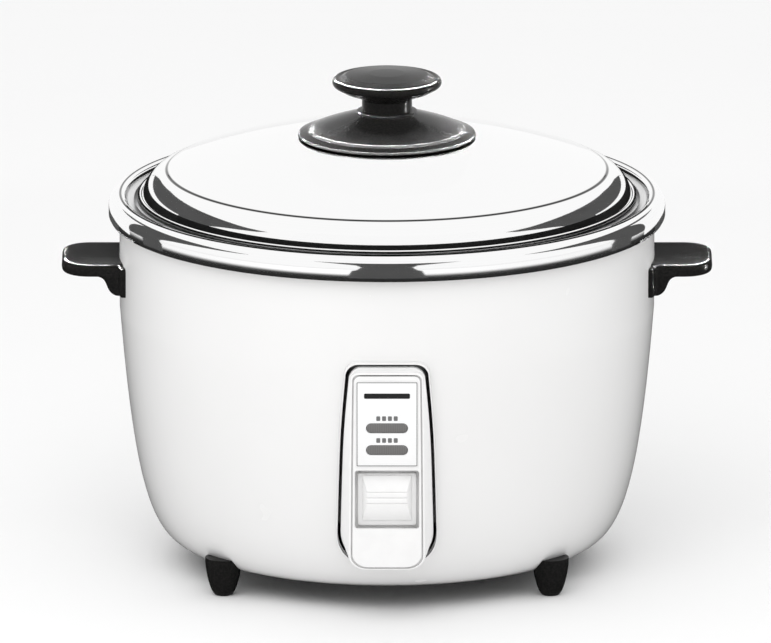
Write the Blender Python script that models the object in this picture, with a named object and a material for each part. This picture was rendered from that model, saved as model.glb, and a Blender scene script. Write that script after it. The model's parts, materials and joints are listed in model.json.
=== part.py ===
"""Large electric rice cooker: painted body, lift-out pan, lift-off lid and a magnetic thermostat switch.

Metres, +Z up. The cooker stands on z = 0 with its front towards -Y and its axis on x = y = 0.
"""

import math

import bmesh
import bpy
from mathutils import Matrix, Vector

# Clearances and fineness
GAP = 0.0003  # between pieces that touch
ROUND = 40  # sides of the large turned pieces
SMALL_ROUND = 20
HOLE_SIDES = 8
SCREW_HOLE_R = 0.0024  # clearance hole in sheet
BOSS_HOLE_R = 0.0022  # hole that a screw's shank goes into, with room round the thread

# Body shell
SHEET = 0.0012
BODY_R = 0.1810  # straight upper wall, outside
BODY_BASE_R = 0.1381
BODY_BASE_Z = 0.0158
BODY_TAPER_Z = 0.1779  # the wall draws in below this
BODY_LEAD = (0.0210, 0.0045)  # pull of the wall's curve at its base
BODY_TRAIL = (0.0098, 0.1280)  # and at its top
BODY_TOP_Z = 0.2479
BODY_FLANGE_R = 0.1240
BODY_TOP_FLANGE_R = 0.1710

# Top ring, pan and lid
RING_R = 0.1883
RING_CREST_R = 0.1798
RING_CREST_Z = 0.2545
RING_LIP_Z = 0.2415
RING_SEAT_Z = 0.2494
RING_SKIRT_R = 0.1630
RING_SKIRT_Z = 0.2380
PAN_RIM_R = 0.1763
PAN_RIM_Z = 0.2514
PAN_WALL = 0.0020
PAN_TOP_R = 0.1575
PAN_LOW_R = 0.1540
PAN_CORNER = 0.0300
PAN_BASE_Z = 0.0872
LID_SHEET = 0.0008
LID_DOME_R = 0.4320
LID_TOP_Z = 0.2975
LID_SHOULDER_R = 0.1560
LID_EDGE_R = 0.1690
LID_ROLL = 0.0016  # radius of the rolled edge

# Knob
KNOB_BASE_R = 0.0602
KNOB_BASE_CREST_R = 0.0525
KNOB_NECK_Z = 0.3120
KNOB_NECK_R = 0.0170
KNOB_R = 0.0370
KNOB_TOP_Z = 0.3376
KNOB_HOLE_R = 0.0032

# Handles and feet
HANDLE_REACH = 0.2200
HANDLE_ROOT = 0.1700  # inside the wall, before the body's space is cut away
HANDLE_TOP_Z = 0.2122
HANDLE_THICK = 0.0092
HANDLE_HALF = 0.0335
HANDLE_CORNER = 0.0190
HANDLE_BEVEL = 0.0026
HANDLE_PAD_HALF = 0.0420
HANDLE_BASE_Z = 0.1902
HANDLE_SCREW_Y = 0.0240
HANDLE_SCREW_Z = 0.1990
FOOT_X = 0.1100
FOOT_Y = 0.1010
FOOT_TOP_Z = 0.0260
FOOT_TOP_R = 0.0126
FOOT_SOLE_R = 0.0055
FOOT_SCREW_Z = 0.0300

# Front panel
PANEL_FACE_Y = -0.1868
PANEL_WALL = 0.0022
PANEL_TOP_Z = 0.1816
PANEL_BASE_Z = 0.0392
PANEL_SCREWS_Z = (0.1650, 0.0440)
LABEL_HALF = 0.0205
LABEL_Z = (0.1110, 0.1693)
LABEL_THICK = 0.0006
MARK_HALF = 0.0154
MARK_Z = (0.1572, 0.1620)
LENS_HALF = 0.0138
LENS_HALF_Z = 0.00315
COOK_LENS_Z = 0.1374
WARM_LENS_Z = 0.1223
WINDOW_HALF = 0.0216
WINDOW_Z = (0.0676, 0.1080)
BODY_SLOT_HALF = 0.0220
BODY_SLOT_Z = (0.0580, 0.1500)

# Switch key and lever
KEY_HALF = 0.0164
KEY_Z = (0.0726, 0.1034)
KEY_RIDGE_HALF = 0.0131
KEY_RIDGE_Z = (0.0845, 0.0923)
KEY_FRONT_Y = -0.1855
KEY_FLANGE_Y = -0.1798
KEY_FLANGE_THICK = 0.0015
KEY_FLANGE_HALF = 0.0222
KEY_FLANGE_Z = (0.0620, 0.1130)
LEVER_PIVOT = (0.0, -0.1050, 0.0520)
LEVER_THICK = 0.0020
LEVER_HALF = 0.0080
LEVER_ARM_Z = 0.0410
LEVER_TIP_Z = 0.0860
PIN_R = 0.0020

# Liner, heater and thermostat
LINER_R = 0.1627
LINER_SHEET = 0.0012
LINER_TOP_Z = 0.2460
LINER_FLOOR_Z = 0.0620
LINER_HOLE_R = 0.0245
PLATE_R = 0.1120
PLATE_Z = (0.0720, 0.0869)
PLATE_HOLE_R = 0.0195
ELEMENT_R = 0.0850
ELEMENT_TUBE_R = 0.0042
ELEMENT_Z = 0.0725
ELEMENT_END_X = 0.0180
ELEMENT_END_Z = 0.0500
CAP_R = 0.0170
CAP_FLANGE_R = 0.0210
CAP_Z = (0.0600, 0.0869)
FERRITE_Z = (0.0800, 0.0854)
MAGNET_Z = (0.0699, 0.0742)
ROD_R = 0.0020
HOLDER_Z = 0.0512

# Underside and inlet
COVER_R = 0.1340
COVER_SCREW_R = 0.1290
VENTS = 6
VENT_REACH = (0.0500, 0.1000)
VENT_HALF = 0.0030
INLET_Y = (0.1280, 0.1720)
INLET_Z = (0.0320, 0.0580)
INLET_HALF = 0.0240
INLET_RIM = 0.0045
INLET_SOCKET_Y = 0.1570
INLET_PIN_R = 0.0020
INLET_PINS = ((-0.0080, 0.0430), (0.0, 0.0480), (0.0080, 0.0430))

# Colour, roughness and metallic value of each material
FINISHES = {
    "white_enamel": ((0.86, 0.86, 0.84), 0.30, 0.0),
    "polished_steel": ((0.75, 0.75, 0.76), 0.12, 1.0),
    "pan_aluminium": ((0.78, 0.78, 0.79), 0.35, 1.0),
    "galvanised_steel": ((0.58, 0.59, 0.60), 0.45, 1.0),
    "cast_aluminium": ((0.62, 0.62, 0.63), 0.50, 1.0),
    "black_phenolic": ((0.018, 0.017, 0.018), 0.28, 0.0),
    "white_plastic": ((0.82, 0.82, 0.80), 0.40, 0.0),
    "label_aluminium": ((0.80, 0.80, 0.79), 0.40, 0.6),
    "cook_lens": ((0.21, 0.20, 0.20), 0.20, 0.0),
    "warm_lens": ((0.21, 0.20, 0.20), 0.20, 0.0),
    "lamp_glass": ((0.85, 0.80, 0.74), 0.05, 0.0),
    "dark_plastic": ((0.05, 0.05, 0.05), 0.50, 0.0),
    "spring_steel": ((0.55, 0.55, 0.56), 0.30, 1.0),
    "zinc_steel": ((0.70, 0.71, 0.72), 0.30, 1.0),
    "ferrite": ((0.08, 0.08, 0.09), 0.70, 0.0),
    "brass": ((0.72, 0.56, 0.28), 0.30, 1.0),
    "silicone": ((0.60, 0.60, 0.58), 0.70, 0.0),
}


# Scene helpers


def clear_scene():
    for obj in list(bpy.data.objects):
        bpy.data.objects.remove(obj, do_unlink=True)


def finish(name):
    material = bpy.data.materials.get(name)
    if material:
        return material
    colour, roughness, metallic = FINISHES[name]
    material = bpy.data.materials.new(name)
    material.use_nodes = True
    shader = material.node_tree.nodes["Principled BSDF"]
    shader.inputs["Base Color"].default_value = (*colour, 1.0)
    shader.inputs["Roughness"].default_value = roughness
    shader.inputs["Metallic"].default_value = metallic
    return material


def mesh_of(name, shape):
    """A Blender mesh from a bmesh, with round faces shaded smooth."""
    mesh = bpy.data.meshes.new(name)
    shape.to_mesh(mesh)
    shape.free()
    mesh.shade_smooth()
    mesh.set_sharp_from_angle(angle=math.radians(35))
    return mesh


def place(name, mesh, finish_name, location=(0, 0, 0), rotation=(0, 0, 0), parent=None):
    """One sub-part. A bmesh becomes its mesh, and a mesh is shared as it is."""
    if isinstance(mesh, bmesh.types.BMesh):
        mesh = mesh_of(name, mesh)
    if not mesh.materials:
        mesh.materials.append(finish(finish_name))
    obj = bpy.data.objects.new(name, mesh)
    bpy.context.scene.collection.objects.link(obj)
    obj.location = location
    obj.rotation_euler = rotation
    if parent:
        obj.parent = parent
        obj.matrix_parent_inverse = Matrix.Translation(parent.location).inverted()
    return obj


def axis_empty(name, location):
    empty = bpy.data.objects.new(name, None)
    bpy.context.scene.collection.objects.link(empty)
    empty.location = location
    empty.empty_display_size = 0.02
    return empty


def guide(name, shape):
    """A solid that only cuts or joins others."""
    obj = bpy.data.objects.new(name, mesh_of(name, shape))
    bpy.context.scene.collection.objects.link(obj)
    obj.hide_render = True
    obj.display_type = "WIRE"
    return obj


def combine(obj, tool, operation):
    modifier = obj.modifiers.new(tool.name, "BOOLEAN")
    modifier.operation = operation
    modifier.object = tool


# Shape helpers


def curve_points(start, lead, trail, end, steps):
    """Points of a cubic curve from start to end, both included."""
    points = []
    for i in range(steps + 1):
        t = i / steps
        weights = ((1 - t) ** 3, 3 * t * (1 - t) ** 2, 3 * t * t * (1 - t), t**3)
        corners = (start, lead, trail, end)
        points.append(tuple(sum(w * p[k] for w, p in zip(weights, corners)) for k in (0, 1)))
    return points


def arc_points(centre, radius, start, end, steps):
    """Points of an arc, in degrees. radius may be a pair, for an ellipse."""
    along, up = radius if isinstance(radius, tuple) else (radius, radius)
    turns = [math.radians(start + (end - start) * i / steps) for i in range(steps + 1)]
    return [(centre[0] + along * math.cos(a), centre[1] + up * math.sin(a)) for a in turns]


def offset_points(points, distance):
    """The line moved sideways, to its left, by distance."""
    moved = []
    for i, point in enumerate(points):
        here = Vector(point)
        before = Vector(points[max(i - 1, 0)])
        after = Vector(points[min(i + 1, len(points) - 1)])
        inward = (here - before).normalized() if i else (after - here).normalized()
        outward = (after - here).normalized() if i < len(points) - 1 else inward
        bisector = (inward + outward).normalized()
        stretch = 1.0 / max(bisector.dot(inward), 0.3)
        moved.append(tuple(here + Vector((-bisector.y, bisector.x)) * distance * stretch))
    return moved


def spun(profile, sides=ROUND):
    """A solid turned about the Z axis. A profile that starts and ends on the axis is left open there."""
    shape = bmesh.new()
    points = [shape.verts.new((r, 0, z)) for r, z in profile]
    lines = [shape.edges.new(pair) for pair in zip(points, points[1:])]
    if profile[0][0] > 0 or profile[-1][0] > 0:
        lines.append(shape.edges.new((points[-1], points[0])))
    turn = {"axis": (0, 0, 1), "cent": (0, 0, 0), "angle": math.tau}
    bmesh.ops.spin(shape, geom=points + lines, steps=sides, use_merge=True, **turn)
    bmesh.ops.remove_doubles(shape, verts=shape.verts, dist=1e-6)
    bmesh.ops.recalc_face_normals(shape, faces=shape.faces)
    return shape


def skinned(loops):
    """A solid through loops of points that all have the same count, closed at both ends."""
    shape = bmesh.new()
    rings = [[shape.verts.new(point) for point in loop] for loop in loops]
    for low, high in zip(rings, rings[1:]):
        for i in range(len(low)):
            j = (i + 1) % len(low)
            shape.faces.new((low[i], low[j], high[j], high[i]))
    shape.faces.new(rings[0])
    shape.faces.new(rings[-1])
    bmesh.ops.recalc_face_normals(shape, faces=shape.faces)
    return shape


def block(low, high):
    (x0, y0, z0), (x1, y1, z1) = low, high
    return skinned([[(x0, y0, z), (x1, y0, z), (x1, y1, z), (x0, y1, z)] for z in (z0, z1)])


def rod(start, end, radius, sides=HOLE_SIDES):
    """A straight round bar. Its flats touch radius, so a hole made with it is never too small."""
    shape = bmesh.new()
    along = Vector(end) - Vector(start)
    turn = along.to_track_quat("Z", "Y").to_matrix().to_4x4()
    middle = Matrix.Translation((Vector(start) + Vector(end)) / 2)
    reach = radius / math.cos(math.pi / sides)
    size = {"radius1": reach, "radius2": reach, "depth": along.length}
    bmesh.ops.create_cone(shape, cap_ends=True, segments=sides, matrix=middle @ turn, **size)
    return shape


def together(shapes):
    """Several separate solids in one bmesh, for a tool that cuts in many places."""
    result = bmesh.new()
    for shape in shapes:
        part = bpy.data.meshes.new("part")
        shape.to_mesh(part)
        shape.free()
        result.from_mesh(part)
        bpy.data.meshes.remove(part)
    return result


def coil(radius, wire, low, high, turns, steps=10, sides=4):
    """A round-wire helix about the Z axis, between the heights low and high."""
    count = round(turns * steps)
    rise = high - low - 2 * wire
    loops = []
    for i in range(count + 1):
        turn = math.tau * i / steps
        outward = Vector((math.cos(turn), math.sin(turn), 0))
        centre = outward * radius + Vector((0, 0, low + wire + rise * i / count))
        ring = arc_points((0, 0), wire, 0, 360 * (sides - 1) / sides, sides - 1)
        loops.append([centre + outward * along + Vector((0, 0, up)) for along, up in ring])
    return skinned(loops)


def screw_mesh(name, head_r, head, shank_r, length):
    """Pan-head screw: the head sits above z = 0 and the shank below it."""
    crown = (head_r * 0.8, head)
    profile = [(0, head), crown, (head_r, 0), (shank_r, 0), (shank_r, -length), (0, -length)]
    return mesh_of(name, spun(profile, sides=HOLE_SIDES))


# Body outline, shared by the shell and by what is fitted to it


def wall_curve(steps=7):
    """The shell's outer wall from its base up to where it runs straight."""
    base = (BODY_BASE_R, BODY_BASE_Z)
    top = (BODY_R, BODY_TAPER_Z)
    lead = (base[0] + BODY_LEAD[0], base[1] + BODY_LEAD[1])
    trail = (top[0] - BODY_TRAIL[0], top[1] - BODY_TRAIL[1])
    return curve_points(base, lead, trail, top, steps)


def wall_radius(z):
    """Outer radius of the shell at height z."""
    line = wall_curve() + [(BODY_R, BODY_TOP_Z)]
    for (r0, z0), (r1, z1) in zip(line, line[1:]):
        if z0 <= z <= z1:
            return r0 + (r1 - r0) * (z - z0) / (z1 - z0)
    return line[0][0]


def body_space():
    """The room that the body takes up, with the clearance that fitted pieces keep."""
    wall = wall_curve()
    outer = offset_points([(BODY_FLANGE_R, BODY_BASE_Z), *wall, (BODY_R, BODY_TOP_Z)], -GAP)
    return guide("body_space", spun([(0, outer[0][1]), *outer, (0, BODY_TOP_Z)]))


# Body and its openings


def body_shell():
    outer = [(BODY_FLANGE_R, BODY_BASE_Z), *wall_curve(), (BODY_R, BODY_TOP_Z)]
    inner = offset_points(outer, SHEET)
    inner[0] = (BODY_FLANGE_R, BODY_BASE_Z + SHEET)
    inner[-1] = (BODY_R - SHEET, BODY_TOP_Z - SHEET)
    lip = [(BODY_TOP_FLANGE_R, BODY_TOP_Z), (BODY_TOP_FLANGE_R, BODY_TOP_Z - SHEET)]
    shell = place("body_shell", spun(outer + lip + inner[::-1]), "white_enamel")
    inside, outside = BODY_R - 0.040, BODY_R + 0.020
    inlet_half = INLET_HALF + GAP
    openings = [
        block((-BODY_SLOT_HALF, -outside, BODY_SLOT_Z[0]), (BODY_SLOT_HALF, -inside, BODY_SLOT_Z[1])),
        block((-inlet_half, inside, INLET_Z[0] - GAP), (inlet_half, outside, INLET_Z[1] + GAP)),
    ]
    for side in (-1, 1):
        for across in (-1, 1):
            x, y, z = side * BODY_R, across * HANDLE_SCREW_Y, HANDLE_SCREW_Z
            openings.append(rod((0.94 * x, y, z), (1.05 * x, y, z), SCREW_HOLE_R))
            x, y = side * FOOT_X, across * FOOT_Y
            openings.append(rod((x, y, 0), (x, y, 0.04), SCREW_HOLE_R))
    for z in PANEL_SCREWS_Z:
        openings.append(rod((0, -inside, z), (0, -outside, z), SCREW_HOLE_R))
    for x, y in cover_screw_places():
        openings.append(rod((x, y, 0), (x, y, 0.02), SCREW_HOLE_R))
    combine(shell, guide("body_openings", together(openings)), "DIFFERENCE")


def top_ring():
    """Bent sheet: a rounded band outside, a seat for the pan's rim, and a skirt that holds the liner."""
    band = curve_points(
        (RING_CREST_R, RING_CREST_Z),
        (RING_CREST_R + 0.0052, RING_CREST_Z - 0.0002),
        (RING_R, RING_CREST_Z - 0.0040),
        (RING_R, RING_CREST_Z - 0.0088),
        3,
    )
    band += [(RING_R, RING_LIP_Z + 0.0025), (RING_R - 0.0011, RING_LIP_Z)]
    under = offset_points(band, -SHEET)
    seat_edge = RING_CREST_R - 0.0028
    outside = [(RING_SKIRT_R, RING_SKIRT_Z), (RING_SKIRT_R, RING_SEAT_Z), (seat_edge, RING_SEAT_Z)]
    inside = [
        (seat_edge + SHEET, RING_SEAT_Z - SHEET),
        (RING_SKIRT_R + SHEET, RING_SEAT_Z - SHEET),
        (RING_SKIRT_R + SHEET, RING_SKIRT_Z),
    ]
    place("top_ring", spun(outside + band + under[::-1] + inside), "polished_steel")


def inner_liner():
    """Heat shield that the pan hangs in, with a floor that carries the heater."""
    floor = LINER_FLOOR_Z
    outer = [(LINER_HOLE_R, floor), (0.1580, floor), (LINER_R, floor + 0.0060), (LINER_R, LINER_TOP_Z)]
    inner = offset_points(outer, LINER_SHEET)
    inner[0] = (LINER_HOLE_R, floor + LINER_SHEET)
    inner[-1] = (LINER_R - LINER_SHEET, LINER_TOP_Z)
    liner = place("inner_liner", spun(outer + inner[::-1]), "galvanised_steel")
    y = element_end_y()
    holes = [rod((x, y, 0.055), (x, y, 0.07), 0.006) for x in (-ELEMENT_END_X, ELEMENT_END_X)]
    combine(liner, guide("liner_holes", together(holes)), "DIFFERENCE")


def cover_screw_places():
    angles = [math.radians(90 + 120 * i) for i in range(3)]
    return [(COVER_SCREW_R * math.cos(a), COVER_SCREW_R * math.sin(a)) for a in angles]


def bottom_cover():
    top = BODY_BASE_Z - GAP
    profile = [(0, top - SHEET), (COVER_R, top - SHEET), (COVER_R, top), (0, top)]
    cover = place("bottom_cover", spun(profile), "galvanised_steel")
    cuts = [rod((x, y, 0), (x, y, 0.02), SCREW_HOLE_R) for x, y in cover_screw_places()]
    start, end = VENT_REACH
    for i in range(VENTS):
        slot = block((start, -VENT_HALF, 0), (end, VENT_HALF, 0.02))
        bmesh.ops.rotate(slot, verts=slot.verts, matrix=Matrix.Rotation(math.tau * i / VENTS, 3, "Z"))
        cuts.append(slot)
    combine(cover, guide("cover_vents", together(cuts)), "DIFFERENCE")
    screw = screw_mesh("cover_screw", 0.0040, 0.0022, 0.0018, 0.0100)
    for i, (x, y) in enumerate(cover_screw_places(), 1):
        place(f"cover_screw_{i}", screw, "zinc_steel", (x, y, top - SHEET - GAP), (math.pi, 0, 0))


# Handles and feet


def handle_plan(inset):
    """The grip seen from above, a plate with two round outer corners."""
    half, reach = HANDLE_HALF - inset, HANDLE_REACH - inset
    corner = HANDLE_CORNER - inset
    right = arc_points((reach - corner, -half + corner), corner, -90, 0, 6)
    left = arc_points((reach - corner, half - corner), corner, 0, 90, 6)
    return [(HANDLE_ROOT, -half), *right, *left, (HANDLE_ROOT, half)]


def handle_mesh(space):
    """The right-hand handle: a flat grip on a curved pad and a small bracket under it."""
    top, base = HANDLE_TOP_Z, HANDLE_TOP_Z - HANDLE_THICK
    levels = ((base, HANDLE_BEVEL), (base + HANDLE_BEVEL, 0), (top - HANDLE_BEVEL, 0), (top, HANDLE_BEVEL))
    grip = skinned([[(x, y, z) for x, y in handle_plan(inset)] for z, inset in levels])
    handle = place("handle_right", grip, "black_phenolic")
    bracket_side = [(HANDLE_ROOT, base + 0.001), (0.1930, base + 0.001)]
    curl = ((0.1925, base), (0.1880, base - 0.002), (0.1900, 0.1930), (0.1835, HANDLE_BASE_Z))
    bracket_side += curve_points(*curl, 4)
    bracket_side.append((HANDLE_ROOT, HANDLE_BASE_Z))
    wide = 0.0360
    bracket = skinned([[(x, y, z) for x, z in bracket_side] for y in (-wide, wide)])
    pad_r, pad_top = BODY_R + 0.0040, top - 0.0012
    turn = math.degrees(math.asin(HANDLE_PAD_HALF / pad_r))
    pad_plan = [(HANDLE_ROOT, -HANDLE_PAD_HALF)]
    pad_plan += arc_points((0, 0), pad_r, -turn, turn, 8)
    pad_plan.append((HANDLE_ROOT, HANDLE_PAD_HALF))
    pad = skinned([[(x, y, z) for x, y in pad_plan] for z in (HANDLE_BASE_Z + 0.0004, pad_top)])
    combine(handle, guide("handle_bracket", bracket), "UNION")
    combine(handle, guide("handle_pad", pad), "UNION")
    combine(handle, space, "DIFFERENCE")
    holes = []
    for y in (-HANDLE_SCREW_Y, HANDLE_SCREW_Y):
        holes.append(rod((HANDLE_ROOT, y, HANDLE_SCREW_Z), (0.1865, y, HANDLE_SCREW_Z), BOSS_HOLE_R))
    combine(handle, guide("handle_screw_holes", together(holes)), "DIFFERENCE")
    return handle


def handles(space):
    right = handle_mesh(space)
    bpy.context.view_layer.update()
    finished = bpy.data.meshes.new_from_object(right.evaluated_get(bpy.context.evaluated_depsgraph_get()))
    finished.name = "handle"
    right.modifiers.clear()
    right.data = finished
    place("handle_left", finished, "black_phenolic", rotation=(0, 0, math.pi))
    screw = screw_mesh("handle_screw", 0.0036, 0.0022, 0.0017, 0.0085)
    head_x = math.sqrt((BODY_R - SHEET) ** 2 - (HANDLE_SCREW_Y + 0.0036) ** 2) - 2 * GAP
    for side, name in ((1, "right"), (-1, "left")):
        for across, place_name in ((-1, "front"), (1, "rear")):
            at = (side * head_x, across * HANDLE_SCREW_Y, HANDLE_SCREW_Z)
            turn = (0, -side * math.pi / 2, 0)
            place(f"handle_screw_{name}_{place_name}", screw, "zinc_steel", at, turn)


def feet(space):
    profile = [
        (0, 0),
        (FOOT_SOLE_R, 0),
        (0.0073, 0.0022),
        (0.0094, 0.0075),
        (0.0113, 0.0130),
        (0.0123, 0.0190),
        (FOOT_TOP_R, FOOT_TOP_Z - 0.001),
        (FOOT_TOP_R - 0.001, FOOT_TOP_Z),
        (0.0021, FOOT_TOP_Z),
        (0.0021, 0.0075),
        (0, 0.0075),
    ]
    foot = mesh_of("foot", spun(profile, sides=12))
    screw = screw_mesh("foot_screw", 0.0036, 0.0022, 0.0017, 0.0210)
    for side, name in ((1, "right"), (-1, "left")):
        for across, place_name in ((-1, "front"), (1, "rear")):
            where = (side * FOOT_X, across * FOOT_Y, 0)
            obj = place(f"foot_{name}_{place_name}", foot, "black_phenolic", where)
            combine(obj, space, "DIFFERENCE")
            place(f"foot_screw_{name}_{place_name}", screw, "zinc_steel", (*where[:2], FOOT_SCREW_Z))


# Front panel


def panel_loop(inset, spread, y_of):
    """One outline of the panel. spread is 0 on the front face and 1 where the panel meets the body."""
    top = PANEL_TOP_Z - 0.0070 * (1 - spread) - inset
    base = PANEL_BASE_Z + inset
    half_top = 0.0240 + 0.0046 * spread - inset
    half_base = 0.0250 + 0.0090 * spread - inset
    corner = 0.0040 + 0.0050 * spread
    turn = (0.0050 + 0.0090 * spread, 0.0070 + 0.0130 * spread)
    low = arc_points((half_base - turn[0], base + turn[1]), turn, -90, 0, 5)
    belly = (half_top + 0.0006 + 0.0031 * spread, 0.1200 + 0.0100 * spread)
    side_end = (half_top, top - corner)
    side = curve_points(low[-1], belly, belly, side_end, 4)[1:-1]
    high = arc_points((half_top - corner, top - corner), corner, 0, 90, 4)
    right = low + side + high
    outline = right + [(-x, z) for x, z in reversed(right)]
    return [(x, y_of(x, z), z) for x, z in outline]


def panel_solid(inset, face_y, back_y):
    """The panel's bulk: a flat face whose flanks slope back to the body."""

    def on_body(x, z):
        return -math.sqrt(wall_radius(z) ** 2 - x * x) - 0.0008

    loops = (
        panel_loop(inset, 0, lambda x, z: face_y),
        panel_loop(inset, 1, on_body),
        panel_loop(inset, 1, lambda x, z: back_y),
    )
    return skinned(loops)


def stadium(half, half_z, z, low_y, high_y):
    """A bar with round ends, lying across the panel."""
    ends = arc_points((half - half_z, z), half_z, -90, 90, 6)
    ends += arc_points((-half + half_z, z), half_z, 90, 270, 6)
    return skinned([[(x, y, z) for x, z in ends] for y in (low_y, high_y)])


def panel_bezel(space):
    bezel = place("panel_bezel", panel_solid(0, PANEL_FACE_Y, -0.150), "white_plastic")
    back_y = PANEL_FACE_Y + PANEL_WALL
    combine(bezel, guide("panel_hollow", panel_solid(PANEL_WALL, back_y, -0.140)), "DIFFERENCE")
    bosses = [rod((0, back_y - 0.001, z), (0, -0.155, z), 0.0042) for z in PANEL_SCREWS_Z]
    combine(bezel, guide("panel_bosses", together(bosses)), "UNION")
    low, high = PANEL_FACE_Y - 0.002, back_y + 0.001
    cuts = [
        block((-WINDOW_HALF, low, WINDOW_Z[0]), (WINDOW_HALF, high, WINDOW_Z[1])),
        stadium(LENS_HALF + GAP, LENS_HALF_Z + GAP, COOK_LENS_Z, low, high),
        stadium(LENS_HALF + GAP, LENS_HALF_Z + GAP, WARM_LENS_Z, low, high),
    ]
    for z, end in zip(PANEL_SCREWS_Z, (-0.1854, -0.1760)):
        cuts.append(rod((0, end, z), (0, -0.150, z), BOSS_HOLE_R))
    combine(bezel, guide("panel_windows", together(cuts)), "DIFFERENCE")
    combine(bezel, space, "DIFFERENCE")


def panel_screws():
    for i, z in enumerate(PANEL_SCREWS_Z, 1):
        wall = min(wall_radius(z - 0.0036), wall_radius(z)) - SHEET
        length = -PANEL_FACE_Y - 0.0020 - wall if i == 1 else 0.0120
        screw = screw_mesh(f"panel_screw_{i}", 0.0036, 0.0020, 0.0017, length)
        place(f"panel_screw_{i}", screw, "zinc_steel", (0, -wall + 2 * GAP, z), (-math.pi / 2, 0, 0))


def label_plate():
    back = PANEL_FACE_Y - GAP
    front = back - LABEL_THICK
    plate = block((-LABEL_HALF, front, LABEL_Z[0]), (LABEL_HALF, back, LABEL_Z[1]))
    label = place("label_plate", plate, "label_aluminium")
    mark = block((-MARK_HALF, front - 0.0003, MARK_Z[0]), (MARK_HALF, back - 0.0001, MARK_Z[1]))
    combine(label, guide("label_mark", mark), "UNION")
    slots = []
    for z in (COOK_LENS_Z, WARM_LENS_Z):
        slots.append(stadium(LENS_HALF + GAP, LENS_HALF_Z + GAP, z, front - 0.001, back + 0.001))
    combine(label, guide("label_slots", together(slots)), "DIFFERENCE")


def lamps():
    """Two lenses, the lamp behind each of them, and the block that holds the lamps."""
    front, back = PANEL_FACE_Y - 0.0012, PANEL_FACE_Y + 0.0020
    pocket_half, pocket_half_z = 0.0130, 0.0036
    holder_y = (PANEL_FACE_Y + 0.0025, -0.1735)
    body = block((-0.0160, holder_y[0], 0.1168), (0.0160, holder_y[1], 0.1435))
    holder = place("lamp_holder", body, "dark_plastic")
    pockets = []
    for name, z in (("cook", COOK_LENS_Z), ("warm", WARM_LENS_Z)):
        place(f"{name}_lens", stadium(LENS_HALF, LENS_HALF_Z, z, front, back), f"{name}_lens")
        place(f"{name}_lamp", rod((-0.0110, -0.1805, z), (0.0110, -0.1805, z), 0.0025), "lamp_glass")
        low = (-pocket_half, holder_y[0] - 0.001, z - pocket_half_z)
        pockets.append(block(low, (pocket_half, -0.1760, z + pocket_half_z)))
    combine(holder, guide("lamp_pockets", together(pockets)), "DIFFERENCE")


# Switch key, lever and microswitch


def from_pivot(y, z):
    return (y - LEVER_PIVOT[1], z - LEVER_PIVOT[2])


def switch_key(axis):
    """The faceted key with the flange that closes the window behind it."""
    base = [(-KEY_HALF, KEY_Z[0]), (KEY_HALF, KEY_Z[0]), (KEY_HALF, KEY_Z[1]), (-KEY_HALF, KEY_Z[1])]
    ridge = [
        (-KEY_RIDGE_HALF, KEY_RIDGE_Z[0]),
        (KEY_RIDGE_HALF, KEY_RIDGE_Z[0]),
        (KEY_RIDGE_HALF, KEY_RIDGE_Z[1]),
        (-KEY_RIDGE_HALF, KEY_RIDGE_Z[1]),
    ]
    outlines = ((KEY_FLANGE_Y + 0.0005, base), (KEY_FRONT_Y, ridge))
    key = skinned([[(x, y, z) for x, z in outline] for y, outline in outlines])
    key = place("switch_key", key, "white_plastic", parent=axis)
    half, (low_z, high_z) = KEY_FLANGE_HALF, KEY_FLANGE_Z
    back_y = KEY_FLANGE_Y + KEY_FLANGE_THICK
    flange = block((-half, KEY_FLANGE_Y, low_z), (half, back_y, high_z))
    combine(key, guide("key_flange", flange), "UNION")
    half, half_z = LEVER_HALF + 0.0004, LEVER_THICK / 2 + 0.0004
    low_z, high_z = LEVER_TIP_Z - half_z, LEVER_TIP_Z + half_z
    socket = block((-half, -0.1830, low_z), (half, back_y + 0.001, high_z))
    combine(key, guide("key_socket", socket), "DIFFERENCE")


def switch_lever(axis):
    """A bent strip on a barrel: its outer end carries the key and its inner fork lifts the magnet rod."""
    route = (
        (0.0070, LEVER_ARM_Z),
        (-0.0880, LEVER_ARM_Z),
        (-0.0990, 0.0490),
        (-0.1520, 0.0530),
        (-0.1590, 0.0590),
        (-0.1660, 0.0680),
        (-0.1660, LEVER_TIP_Z),
        (-0.1825, LEVER_TIP_Z),
    )
    line = [from_pivot(*point) for point in route]
    side = offset_points(line, LEVER_THICK / 2) + offset_points(line, -LEVER_THICK / 2)[::-1]
    strip = skinned([[(x, y, z) for y, z in side] for x in (-LEVER_HALF, LEVER_HALF)])
    lever = place("switch_lever", strip, "zinc_steel", LEVER_PIVOT, parent=axis)
    pivot = Vector(LEVER_PIVOT)
    reach = Vector((0.0095, 0, 0))
    combine(lever, guide("lever_barrel", rod(pivot - reach, pivot + reach, 0.0045, 16)), "UNION")
    slot = block((-0.0026, -0.0035, LEVER_ARM_Z - 0.003), (0.0026, 0.010, LEVER_ARM_Z + 0.003))
    bore = rod(pivot - 2 * reach, pivot + 2 * reach, PIN_R + 0.00035, 12)
    combine(lever, guide("lever_cuts", together([slot, bore])), "DIFFERENCE")


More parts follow.
